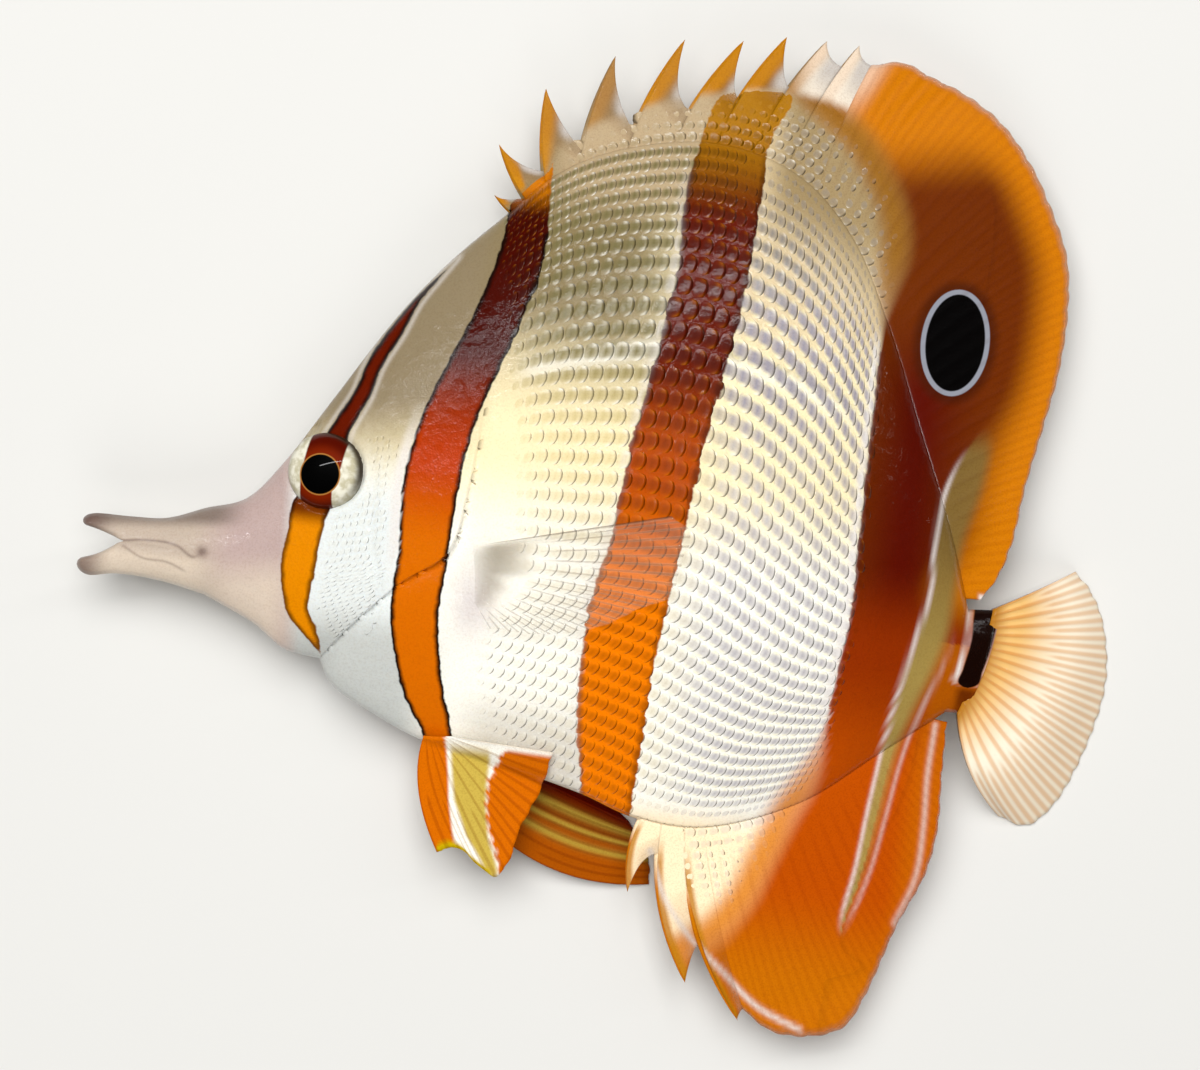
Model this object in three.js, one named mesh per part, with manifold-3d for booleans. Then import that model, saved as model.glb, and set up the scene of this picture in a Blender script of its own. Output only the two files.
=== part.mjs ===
// A copperband butterflyfish, life size, lying on its right side with its fins spread.
// Millimetres. x runs from the snout (-) to the tail (+), y towards the back, z up, out of the left side.
// The origin lies on the surface under the middle of the fish.
import * as THREE from 'three';
import { mergeVertices } from 'three/addons/utils/BufferGeometryUtils.js';
import Module from 'manifold-3d';

const wasm = await Module();
wasm.setup();

// Sizes of the whole fish
const midHeight = 6.15; // from the surface up to the plane that halves the body
const gap = 0.3; // between two pieces that touch
const headGap = 0.39; // along the body, where the gill line slants
const gillStep = 0.35; // how far the gill cover stands out from the flank behind it
const weldDistance = 1e-3;

// Lines of the flesh in the middle plane, from front to rear or from belly to back
const foreheadPoints = [[-37.9, -4.5], [-34.2, -3.1], [-31.2, 0.6], [-27.3, 7.2], [-22.0, 16.2],
  [-18.0, 21.6], [-13.5, 26.5]];
const throatPoints = [[-37.0, -12.6], [-32.0, -14.7], [-28.8, -16.7], [-25.4, -17.2]];
const snoutRootPoints = [[-37.0, -12.6], [-37.5, -8.6], [-37.9, -4.5]];
const gillPoints = [[-25.4, -17.2], [-22.3, -13.2], [-18.3, -8.9], [-14.4, -5.6], [-13.2, 0.5], [-12.8, 11],
  [-13.1, 19], [-13.5, 26.5]];
const bellyPoints = [[-25.4, -17.2], [-24.0, -19.4], [-19.0, -22.0], [-15.0, -23.5], [-7.2, -24.9],
  [0.6, -26.6], [5.9, -28.2], [12.3, -28.4], [21.3, -24.8], [28.0, -19.3], [33.8, -14.5]];
const backPoints = [[-13.5, 26.5], [-9.0, 31.2], [-3.5, 34.2], [5.7, 36.0], [13.5, 34.0], [19.2, 29.0],
  [23.6, 21.4], [28.0, 11.8], [32.0, 2.8], [34.7, -4.6]];
const tailRootPoints = [[33.8, -14.5], [34.4, -9.5], [34.7, -4.6]];
const tailEndPoints = [[35.7, -14.4], [37.0, -9.4], [37.8, -4.3]];

// Half the body's thickness at stations along it: -1 root of the snout, 0 gill opening, 1 root of the tail
const girth = {
  station: [-1, -0.75, -0.5, -0.2, 0, 0.2, 0.38, 0.55, 0.75, 0.9, 1],
  halfWidth: [2.5, 3.3, 4.3, 5.2, 5.7, 6.3, 6.5, 6.2, 4.7, 3.1, 2.2],
  backEdge: [0.15, 0.25, 0.35, 0.6, 0.75, 0.9, 0.95, 0.95, 0.95, 0.9, 0.6],
  bellyEdge: [0.15, 0.2, 0.25, 0.25, 0.25, 0.3, 0.45, 0.9, 0.95, 0.9, 0.6],
  backPower: [0.5, 0.34, 0.26, 0.4, 0.52, 0.66, 0.74, 0.78, 0.8, 0.7, 0.55],
  bellyPower: [0.5, 0.5, 0.5, 0.5, 0.52, 0.58, 0.64, 0.72, 0.78, 0.7, 0.55],
};
const rows = { body: 22, head: 18, torso: 26, peduncle: 3 };

// Jaws, from their tips to the root of the snout
const upperJaw = {
  top: [[-49.2, -6.7], [-48.2, -6.35], [-44.8, -6.2], [-41.4, -5.9], [-38.2, -4.6]],
  bottom: [[-49.2, -7.5], [-47.5, -7.85], [-45.2, -8.4], [-37.8, -8.45]],
};
const lowerJaw = {
  top: [[-49.3, -10.8], [-47.3, -10.0], [-45.2, -8.8], [-37.8, -8.75]],
  bottom: [[-49.2, -11.8], [-48.1, -12.2], [-45.6, -11.75], [-41.5, -11.85], [-37.35, -12.5]],
};
const jaw = {
  station: [0, 0.06, 0.14, 0.3, 0.6, 1],
  halfWidth: [0.8, 1.2, 1.15, 1.4, 1.9, 2.4], // the lips swell just behind the tip
  edge: 0.12,
  columns: 12,
  rows: 7,
};

// Eyes and nostrils of the left side; tiltTowards is the way an eye's axis leans, from x
const eye = { x: -26.8, y: 0.4, z: 3.0, radius: 3.3, depth: 1.9, tilt: 0.2, tiltTowards: 2.75 };
const nostrils = [{ x: -29.2, y: 3.1, radius: 0.3 }, { x: -28.3, y: 4.4, radius: 0.38 }];
const nostrilDepth = 0.55;

// Spines: share of the root line where each grows, its tip, its width, the share of it that the skin in
// front covers, and the point that the skin behind it dips towards
const dorsalSpines = [
  { at: 0.012, tip: [-14.7, 28.3], width: 0.7, web: 0.3, dip: [-13.9, 27.7] },
  { at: 0.032, tip: [-14.9, 33.1], width: 0.8, web: 0.15, dip: [-13.2, 31.2] },
  { at: 0.06, tip: [-11.2, 38.9], width: 1.0, web: 0.2, dip: [-9.9, 36.1] },
  { at: 0.109, tip: [-5.1, 42.8], width: 1.2, web: 0.18, dip: [-5.0, 39.1] },
  { at: 0.175, tip: [1.2, 45.2], width: 1.3, web: 0.2, dip: [0.3, 39.8] },
  { at: 0.234, tip: [6.7, 45.8], width: 1.3, web: 0.33, dip: [5.8, 41.2] },
  { at: 0.29, tip: [10.7, 46.7], width: 1.2, web: 0.42, dip: [10.4, 43.3] },
  { at: 0.34, tip: [14.5, 46.8], width: 1.2, web: 0.58, dip: [14.6, 45.1] },
  { at: 0.391, tip: [17.6, 46.8], width: 1.1, web: 0.82, dip: [17.7, 45.4] },
];
const dorsalWebEnd = { at: 0.444, tip: [18.9, 45.1] };
const analSpines = [
  { at: 0.527, tip: [6.3, -35.2], width: 0.9, web: 0.2, dip: [6.9, -31.6] },
  { at: 0.554, tip: [12.8, -43.0], width: 1.2, web: 0.22, dip: [13.0, -39.7] },
  { at: 0.588, tip: [18.2, -45.9], width: 1.2, web: 0.6, dip: [18.3, -45.1] },
];
const analWebEnd = { at: 0.618, tip: [18.6, -44.9] };
// Half thickness of a spine at its root, on its ridge and its edges near the tip, and at the tip
const spineHalf = { root: 0.95, crest: 0.25, edge: 0.15, tip: 0.12 };
const webHalf = { root: 0.75, edge: 0.25 }; // half thickness of the skin between spines
const spineBow = { dorsal: 0.05, anal: 0.09 }; // how far a spine bows forwards, as a share of its length
const spineRows = { web: 4, free: 3 };
const webRows = 6;

// Fins of soft rays: margins from the first ray to the last, numbers of rays, and half thicknesses
const dorsalMargin = [[19.5, 45.3], [22.0, 45.8], [24.6, 44.9], [28.2, 43.7], [31.8, 41.6], [34.9, 38.4],
  [37.8, 33.9], [39.8, 29.6], [40.5, 25.2], [40.4, 18.9], [39.6, 13.6], [38.6, 7.6], [38.0, 2.0],
  [37.0, -1.4], [35.7, -3.6]];
const analMargin = [[19.1, -45.3], [21.6, -46.7], [25.2, -46.7], [28.3, -45.4], [30.0, -42.0],
  [32.0, -35.2], [34.0, -30.0], [34.6, -25.5], [34.3, -20.5], [34.1, -15.4]];
const scallop = 0.12; // how far the skin between two rays stays behind their tips
const softFin = { rows: 8, root: 0.85, edge: 0.25, ridge: 0.12, sag: 0.7 };
const softDorsal = { ...softFin, from: 0.452, to: 0.985, rays: 28, bow: 0.03 };
const softAnal = { ...softFin, from: 0.627, to: 0.975, rays: 19, bow: -0.03 };

// The tail fin hangs down to the surface
const tailMargin = [[45.2, 0.3], [46.8, -1.2], [48.4, -4.0], [49.5, -9.4], [48.6, -15.6], [46.0, -22.3],
  [43.6, -24.6], [40.9, -24.0]];
const caudal = { rays: 17, rows: 8, root: 1.1, edge: 0.25, ridge: 0.13, bow: 0, sag: 6 };
const caudalLowBow = [-0.9, -0.6]; // how far its lowest ray bows towards the front

const pectoralRoot = [[-12.2, -4.7], [-11.7, -7.3], [-11.4, -9.9]];
const pectoralMargin = [[5.6, 0.4], [7.6, -0.9], [7.2, -3.6], [6.4, -7.0], [3.9, -8.4], [0.4, -10.6],
  [-5.0, -12.0], [-9.6, -12.1]];
const pectoral = { rays: 14, rows: 7, root: 0.38, edge: 0.25, ridge: 0.08, bow: 0, lift: 1.3 };
// The flank sinks round the root of the pectoral fin
const pectoralHollow = { x: -11.4, y: -7.4, depth: 1.1, along: 3.4, across: 3.8 };
const foldedPectoral = { turn: -1.0, close: 0.45, lift: 0.1 }; // the right one lies folded under the body

const pelvic = { rays: 6, rows: 8, root: 0.5, edge: 0.25, ridge: 0.12, bow: 0 };
const pelvicRoot = [[-14.6, -23.0], [-13.4, -22.9], [-12.0, -22.7]];
const leftPelvicMargin = [[-12.0, -33.8], [-10.0, -33.2], [-8.2, -34.4], [-6.2, -35.4], [-5.0, -33.4],
  [-4.6, -31.0], [-3.0, -26.6], [-2.3, -22.9]];
const rightPelvicMargin = [[8.4, -34.9], [8.2, -33.0], [6.9, -30.6], [5.0, -28.6], [1.0, -26.8]];
const leftPelvicBow = [-1.2, 0.3]; // how far the leading edge bows forwards
const rightPelvicBow = [-1.2, -4.2];
const pelvicRise = { root: 1.2, left: 0.6, right: 6 }; // away from the middle plane, at root and margins

const colour = {
  silver: 0xd9d6c8, tan: 0x9c8f76, orange: 0xd0660e, brown: 0x7a3208, yellow: 0xd9a514, clear: 0xcfc7b4,
};

const flat = ([x, y]) => new THREE.Vector3(x, y, 0);
const { lerp, smoothstep } = THREE.MathUtils;

// A smooth line through points of the middle plane, read by its share of the length
function line(points) {
  const curve = new THREE.CatmullRomCurve3(points.map(flat), false, 'centripetal');
  const read = (share) => curve.getPointAt(Math.min(Math.max(share, 0), 1));
  read.span = curve.getLength();
  return read;
}

// A point of a line moved sideways, to the left of its direction
function offLine(read, share, distance) {
  const ahead = read(share + 0.004).sub(read(share - 0.004)).normalize();
  return read(share).add(new THREE.Vector3(-ahead.y, ahead.x, 0).multiplyScalar(distance));
}

// A value read between the stations of a table
function between(stations, values, at) {
  let k = 0;
  while (k < stations.length - 2 && at > stations[k + 1]) {
    k += 1;
  }
  const share = (at - stations[k]) / (stations[k + 1] - stations[k]);
  return lerp(values[k], values[k + 1], Math.min(Math.max(share, 0), 1));
}

// The surface spanned by four lines: front and rear run from belly to back, low and high from front to rear
function span(front, rear, low, high) {
  return (s, t) => {
    const point = front(s).multiplyScalar(1 - t).addScaledVector(rear(s), t);
    point.addScaledVector(low(t), 1 - s).addScaledVector(high(t), s);
    point.addScaledVector(front(0), -(1 - s) * (1 - t)).addScaledVector(front(1), -s * (1 - t));
    return point.addScaledVector(rear(0), -(1 - s) * t).addScaledVector(rear(1), -s * t);
  };
}

const gillLine = line(gillPoints);
const tailRoot = line(tailRootPoints);
const backLine = line(backPoints);
const bellyLine = line(bellyPoints);
const headPlan = span(line(snoutRootPoints), gillLine, line(throatPoints), line(foreheadPoints));
const torsoPlan = span(gillLine, tailRoot, bellyLine, backLine);

// Half the thickness of the flesh at share s from belly to back, at a station of the girth table
function fleshHalf(s, station) {
  const read = (name) => between(girth.station, girth[name], station);
  const side = s < 0.5 ? 'belly' : 'back';
  const edge = read(`${side}Edge`);
  const rise = Math.sin(Math.PI * Math.min(Math.max(s, 0), 1)) ** read(`${side}Power`);
  return edge + (read('halfWidth') - edge) * rise;
}

// Half the thickness of the torso, less the hollow where the pectoral fin is rooted
function torsoHalf(s, t) {
  const { x, y } = torsoPlan(s, t);
  const { along, across, depth } = pectoralHollow;
  const away = ((x - pectoralHollow.x) / along) ** 2 + ((y - pectoralHollow.y) / across) ** 2;
  return fleshHalf(s, t) - depth * Math.exp(-away);
}

// Half the thickness of the torso at a point of the middle plane, found by walking the plan towards it
function torsoHalfAt(x, y) {
  const step = 0.01;
  let s = 0.3;
  let t = 0.2;
  for (let round = 0; round < 25; round += 1) {
    const here = torsoPlan(s, t);
    const up = torsoPlan(s + step, t).sub(here).divideScalar(step);
    const along = torsoPlan(s, t + step).sub(here).divideScalar(step);
    const dx = x - here.x;
    const dy = y - here.y;
    const turn = up.x * along.y - up.y * along.x;
    s = Math.min(Math.max(s + 0.7 * (dx * along.y - dy * along.x) / turn, 0.002), 0.98);
    t = Math.min(Math.max(t + 0.7 * (up.x * dy - up.y * dx) / turn, 0.002), 0.98);
  }
  return torsoHalf(s, t) - torsoPlan(s, t).distanceTo(flat([x, y]));
}

// Shared points are merged, and triangles that have shrunk to a line are dropped
function weld(positions, faces) {
  const loose = new THREE.BufferGeometry();
  loose.setAttribute('position', new THREE.Float32BufferAttribute(positions, 3));
  loose.setIndex(faces.flat());
  const joined = mergeVertices(loose, weldDistance);
  const index = joined.index.array;
  const kept = [];
  for (let k = 0; k < index.length; k += 3) {
    const [a, b, c] = [index[k], index[k + 1], index[k + 2]];
    if (a !== b && b !== c && c !== a) {
      kept.push(a, b, c);
    }
  }
  joined.setIndex(kept);
  return joined;
}

// A sheet given thickness on both sides of its middle, with its rim walled and its underside flat where it
// reaches the surface that the fish lies on
function thicken({ points, triangles }) {
  const count = points.length;
  const positions = [];
  points.forEach((p) => positions.push(p.x, p.y, Math.max(p.z + p.half, 2 * webHalf.edge - midHeight)));
  points.forEach((p) => positions.push(p.x, p.y, Math.max(p.z - p.half, -midHeight)));
  const area = ([a, b, c]) => (points[b].x - points[a].x) * (points[c].y - points[a].y)
    - (points[c].x - points[a].x) * (points[b].y - points[a].y);
  const leftward = triangles.reduce((sum, corners) => sum + area(corners), 0) > 0;
  const sheet = leftward ? triangles : triangles.map(([a, b, c]) => [a, c, b]);
  const faces = [];
  const edges = new Set();
  sheet.forEach(([a, b, c]) => {
    faces.push([a, b, c], [a + count, c + count, b + count]);
    [[a, b], [b, c], [c, a]].forEach(([p, q]) => edges.add(`${p}_${q}`));
  });
  edges.forEach((key) => {
    const [p, q] = key.split('_').map(Number);
    if (!edges.has(`${q}_${p}`)) {
      faces.push([q, p, p + count], [q, p + count, q + count]);
    }
  });
  return weld(positions, faces);
}

// Triangles between two columns of points, which may differ in length and share their ends
function stitch(sheet, left, right) {
  let i = 0;
  let j = 0;
  while (i < left.length - 1 || j < right.length - 1) {
    const leftNext = (i + 1) / (left.length - 1);
    const rightNext = (j + 1) / (right.length - 1);
    const moveLeft = j === right.length - 1 || (i < left.length - 1 && leftNext <= rightNext);
    const corners = [left[i], right[j], moveLeft ? left[i + 1] : right[j + 1]];
    if (new Set(corners).size === 3) {
      sheet.triangles.push(corners);
    }
    i += moveLeft ? 1 : 0;
    j += moveLeft ? 0 : 1;
  }
}

function addPoint(sheet, { x, y }, half, z = 0) {
  return sheet.points.push({ x, y, z, half }) - 1;
}

// A sheet on a regular grid; pointAt gives the place, half thickness and height at two shares
function gridSheet(columns, rowCount, pointAt) {
  const sheet = { points: [], triangles: [] };
  let last = null;
  for (let i = 0; i <= columns; i += 1) {
    const column = [];
    for (let j = 0; j <= rowCount; j += 1) {
      const { place, half, z } = pointAt(i / columns, j / rowCount);
      column.push(addPoint(sheet, place, half, z));
    }
    if (last) {
      stitch(sheet, last, column);
    }
    last = column;
  }
  return sheet;
}

// Rows stand closer together near the back and the belly, where the flesh turns
function rowShare(v) {
  return lerp(v, 0.5 - 0.5 * Math.cos(Math.PI * v), 0.6);
}

function torsoGeometry() {
  const sheet = gridSheet(rows.torso, rows.body, (u, v) => {
    const s = rowShare(v);
    const t = lerp(headGap / (tailRoot(0.5).x - gillLine(0.5).x), 1, u);
    return { place: torsoPlan(s, t), half: torsoHalf(s, t) };
  });
  return thicken(sheet);
}

// The head stands out from the flank along the free edge of the gill cover
function headGeometry() {
  const sheet = gridSheet(rows.head, rows.body, (u, v) => {
    const s = rowShare(v);
    const cover = smoothstep(u, 0.6, 0.95) * smoothstep(s, 0, 0.08) * (1 - smoothstep(s, 0.42, 0.6));
    return { place: headPlan(s, u), half: fleshHalf(s, u - 1) + gillStep * cover };
  });
  const sockets = [eye, ...nostrils].flatMap((hole) => [1, -1].map((side) => hollow(hole, side)));
  return cut(thicken(sheet), sockets);
}

function peduncleGeometry() {
  const front = (s) => tailRoot(s).add(flat([gap, 0]));
  const plan = span(front, line(tailEndPoints), (t) => front(0).lerp(flat(tailEndPoints[0]), t),
    (t) => front(1).lerp(flat(tailEndPoints[2]), t));
  return thicken(gridSheet(rows.peduncle, 12, (u, v) => {
    const s = rowShare(v);
    return { place: plan(s, u), half: fleshHalf(s, 1) * lerp(1, 0.6, u) };
  }));
}

// A jaw is half of the snout's tube, flat where it meets the other jaw
function jawGeometry(outline, isUpper) {
  const top = line(outline.top);
  const bottom = line(outline.bottom);
  const sheet = gridSheet(jaw.columns, jaw.rows, (u, v) => {
    const t = u ** 1.4;
    const away = isUpper ? Math.sin(0.5 * Math.PI * v) : Math.cos(0.5 * Math.PI * v);
    const place = bottom(t).lerp(top(t), isUpper ? away : 1 - away);
    const roundness = Math.max(Math.cos(0.5 * Math.PI * away), 0) ** 0.5;
    return { place, half: Math.max(between(jaw.station, jaw.halfWidth, t) * roundness, jaw.edge) };
  });
  return thicken(sheet);
}

// A flattened ball as a closed surface, with its short axis leaning by the tilt
function ballGeometry(radius, depth, segments) {
  const ball = new THREE.SphereGeometry(1, segments, Math.round(segments * 0.55));
  ball.rotateX(Math.PI / 2);
  ball.scale(radius, radius, depth);
  ball.deleteAttribute('normal');
  ball.deleteAttribute('uv');
  return mergeVertices(ball, weldDistance);
}

// Where an eye stands and how it leans, on the left side (1) or the right (-1)
function eyePose(side) {
  const axis = new THREE.Vector3(Math.cos(eye.tiltTowards), Math.sin(eye.tiltTowards), 0);
  axis.multiplyScalar(Math.sin(eye.tilt)).setZ(side * Math.cos(eye.tilt));
  const turn = new THREE.Quaternion().setFromUnitVectors(new THREE.Vector3(0, 0, 1), axis);
  return { place: new THREE.Vector3(eye.x, eye.y, side * eye.z), turn };
}

// The space that an eye or a nostril takes out of the head
function hollow(hole, side) {
  if (hole === eye) {
    const { place, turn } = eyePose(side);
    const socket = ballGeometry(eye.radius + gap, eye.depth + gap, 28);
    return socket.applyQuaternion(turn).translate(place.x, place.y, place.z);
  }
  const pit = ballGeometry(hole.radius, nostrilDepth, 8);
  return pit.translate(hole.x, hole.y, side * headHalfAt(hole.x, hole.y));
}

// Half the thickness of the head at a point of the middle plane: the nearest point of a fine grid
function headHalfAt(x, y) {
  let best = Infinity;
  let half = 0;
  for (let i = 0; i <= 120; i += 1) {
    for (let j = 0; j <= 120; j += 1) {
      const away = headPlan(i / 120, j / 120).distanceTo(flat([x, y]));
      if (away < best) {
        best = away;
        half = fleshHalf(i / 120, j / 120 - 1);
      }
    }
  }
  return half;
}

function solid(geometry) {
  return new wasm.Manifold(new wasm.Mesh({
    numProp: 3,
    vertProperties: new Float32Array(geometry.attributes.position.array),
    triVerts: new Uint32Array(geometry.index.array),
  }));
}

function cut(body, tools) {
  const mesh = tools.reduce((rest, tool) => rest.subtract(solid(tool)), solid(body)).getMesh();
  return weld(Array.from(mesh.vertProperties), [Array.from(mesh.triVerts)]);
}

// A fin of soft rays between its root and its margin: each ray is a ridge, with a furrow between two rays
function rayFin(fin, root, margin, middle, swing) {
  const columns = fin.rays * 2;
  return thicken(gridSheet(columns, fin.rows, (u, v) => {
    const onRay = Math.round(u * columns) % 2 === 0;
    const start = root(u);
    const end = margin(u);
    const reach = onRay ? 1 : 1 - scallop / Math.max(start.distanceTo(end), 1);
    const place = start.clone().lerp(end, v * reach);
    const across = new THREE.Vector3(end.y - start.y, start.x - end.x, 0);
    place.addScaledVector(across, fin.bow * 4 * v * (1 - v));
    place.addScaledVector(swing(u), 4 * v * (1 - v));
    const web = lerp(fin.edge, fin.root, (1 - v) ** 1.6);
    const ridge = fin.ridge * Math.min(1, 4 * v) * (1 - 0.6 * v);
    return { place, half: web + (onRay ? ridge : 0), z: middle(place, v, web + ridge) };
  }));
}

// One spine as three columns of points, its front edge, its ridge and its rear edge, that meet in the tip
function spineColumns(sheet, spine, root, side) {
  const tip = flat(spine.tip);
  const chord = tip.clone().sub(root(spine.at));
  const bow = side > 0 ? spineBow.dorsal : spineBow.anal;
  const forwards = new THREE.Vector3(-chord.y, chord.x, 0).multiplyScalar(side * bow * 4);
  const run = (shift) => {
    const foot = offLine(root, spine.at + shift * spine.width / (2 * root.span), side * gap);
    return (r) => foot.clone().lerp(tip, r).addScaledVector(forwards, r * (1 - r));
  };
  const shares = [];
  for (let k = 0; k <= spineRows.web; k += 1) {
    shares.push(spine.web * k / spineRows.web);
  }
  for (let k = 1; k < spineRows.free; k += 1) {
    shares.push(lerp(spine.web, 1, k / spineRows.free));
  }
  const end = addPoint(sheet, tip, spineHalf.tip);
  const column = (edge, half, last) => {
    return [...shares.map((r) => addPoint(sheet, edge(r), lerp(half, last, r))), end];
  };
  const [front, ridge, rear] = [run(-1), run(0), run(1)];
  const edges = [front, rear].map((edge) => column(edge, webHalf.root, spineHalf.edge));
  const crest = column(ridge, spineHalf.root, spineHalf.crest);
  return { spine, front, rear, columns: [edges[0], crest, edges[1]] };
}

// The skin from the rear edge of one spine to the front edge of the next, its edge dipping between them
function webColumns(sheet, before, after, root, side) {
  const { tip, dip, at, width } = before.spine;
  const edge = new THREE.QuadraticBezierCurve3(flat(tip), flat(dip), after.front(after.web));
  const rootFrom = at + width / (2 * root.span);
  return [1 / 3, 2 / 3].map((across) => Array.from({ length: webRows + 1 }, (_, k) => {
    const up = k / webRows;
    const place = before.rear(up).lerp(after.front(up * after.web), across);
    const chord = before.rear(1).lerp(after.front(after.web), across);
    const foot = before.rear(0).lerp(after.front(0), across);
    const curvedFoot = offLine(root, lerp(rootFrom, after.rootTo, across), side * gap);
    place.addScaledVector(edge.getPoint(across).sub(chord), up * up);
    place.addScaledVector(curvedFoot.sub(foot), 1 - up);
    return addPoint(sheet, place, lerp(webHalf.root, webHalf.edge, up));
  }));
}

// A spiny fin: spines joined by skin that is cut low behind each tip
function spinyFin(spines, end, root, side) {
  const sheet = { points: [], triangles: [] };
  let before = null;
  [...spines, end].forEach((plan) => {
    let next;
    if (plan.width) {
      const built = spineColumns(sheet, plan, root, side);
      const web = built.columns[0].slice(0, spineRows.web + 1);
      next = { ...built, web: plan.web, rootTo: plan.at - plan.width / (2 * root.span), edgeColumn: web };
    } else {
      const foot = offLine(root, plan.at, side * gap);
      const front = (r) => foot.clone().lerp(flat(plan.tip), r);
      const shares = Array.from({ length: webRows + 1 }, (_, k) => k / webRows);
      const edgeColumn = shares.map((r) => addPoint(sheet, front(r), lerp(webHalf.root, webHalf.edge, r)));
      next = { front, web: 1, rootTo: plan.at, edgeColumn, columns: [] };
    }
    if (before) {
      const run = [before.columns[2], ...webColumns(sheet, before, next, root, side), next.edgeColumn];
      run.slice(1).forEach((column, k) => stitch(sheet, run[k], column));
    }
    next.columns.slice(1).forEach((column, k) => stitch(sheet, next.columns[k], column));
    before = next;
  });
  return thicken(sheet);
}

// A stretch of a root line, a gap outside it
function finRoot(root, fin, side) {
  return (u) => offLine(root, lerp(fin.from, fin.to, u), side * gap);
}

// The open pectoral margin swung down and closed like a fan, for the fin under the body
function foldedMargin() {
  const [hingeX, hingeY] = pectoralRoot[1];
  return pectoralMargin.map(([x, y]) => {
    const reach = Math.hypot(x - hingeX, y - hingeY);
    const angle = Math.atan2(y - hingeY, x - hingeX);
    const turned = foldedPectoral.turn + angle * foldedPectoral.close;
    return [hingeX + reach * Math.cos(turned), hingeY + reach * Math.sin(turned)];
  });
}

// Heights of the fins' middles above the plane that halves the body
const sagging = (fin) => (place, v) => -fin.sag * v * v;
const overFlank = (side, lift) => ({ x, y }, v, half) => {
  const clear = Math.max(torsoHalfAt(x, y), 0) + gap + half;
  return side * (clear + lift * v * v);
};
const besideBelly = (side, away) => ({ x, y }, v, half) => {
  const clear = Math.max(torsoHalfAt(x, y), 0) + gap + half;
  return side * Math.max(clear, lerp(pelvicRise.root, away, v));
};

const fish = new THREE.Group();
fish.position.z = midHeight;

function add(name, geometry, tint, roughness = 0.35) {
  const material = new THREE.MeshStandardMaterial({ color: tint, roughness, metalness: 0 });
  const mesh = new THREE.Mesh(geometry, material);
  mesh.name = name;
  fish.add(mesh);
  return mesh;
}

add('head', headGeometry(), colour.silver);
add('upper_jaw', jawGeometry(upperJaw, true), colour.tan);
add('lower_jaw', jawGeometry(lowerJaw, false), colour.tan);
add('torso', torsoGeometry(), colour.silver);
add('tail_root', peduncleGeometry(), colour.brown);
[['left', 1], ['right', -1]].forEach(([name, side]) => {
  const { place, turn } = eyePose(side);
  const ball = add(`eye_${name}`, ballGeometry(eye.radius, eye.depth, 24), colour.clear, 0.1);
  ball.position.copy(place);
  ball.quaternion.copy(turn);
});
// Soft rays root in the flesh of the back and the belly, those of the tail in the end of the tail root
const dorsalRoot = finRoot(backLine, softDorsal, 1);
const analRoot = finRoot(bellyLine, softAnal, -1);
const tailEnd = line(tailEndPoints);
const caudalRoot = (u) => tailEnd(1 - u).add(flat([gap, 0]));
const caudalSwing = (u) => flat(caudalLowBow).multiplyScalar(Math.max(2 * u - 1, 0) ** 2);
const spineSwing = (bow) => (u) => flat(bow).multiplyScalar(Math.max(1 - 2 * u, 0));
const none = () => flat([0, 0]);

add('dorsal_spines', spinyFin(dorsalSpines, dorsalWebEnd, backLine, 1), colour.orange);
add('anal_spines', spinyFin(analSpines, analWebEnd, bellyLine, -1), colour.orange);

// Each fin of rays: its name and sizes, its root and margin, its height, the bow of its rays, and its colour
const rayFins = [
  ['dorsal_soft', softDorsal, dorsalRoot, dorsalMargin, sagging(softDorsal), none, colour.brown],
  ['anal_soft', softAnal, analRoot, analMargin, sagging(softAnal), none, colour.orange],
  ['caudal_fin', caudal, caudalRoot, tailMargin, sagging(caudal), caudalSwing, colour.yellow],
  ['pectoral_fin_left', pectoral, line(pectoralRoot), pectoralMargin, overFlank(1, pectoral.lift), none,
    colour.clear],
  ['pectoral_fin_right', pectoral, line(pectoralRoot), foldedMargin(),
    overFlank(-1, foldedPectoral.lift), none, colour.clear],
  ['pelvic_fin_left', pelvic, line(pelvicRoot), leftPelvicMargin, besideBelly(1, pelvicRise.left),
    spineSwing(leftPelvicBow), colour.orange],
  ['pelvic_fin_right', pelvic, line(pelvicRoot), rightPelvicMargin, besideBelly(-1, pelvicRise.right),
    spineSwing(rightPelvicBow), colour.orange],
];
rayFins.forEach(([name, fin, root, margin, middle, swing, tint]) => {
  add(name, rayFin(fin, root, line(margin), middle, swing), tint);
});

const part = new THREE.Group();
part.add(fish);
export default part;
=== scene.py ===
import math

import bpy
import numpy as np
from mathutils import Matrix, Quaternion, Vector


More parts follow.
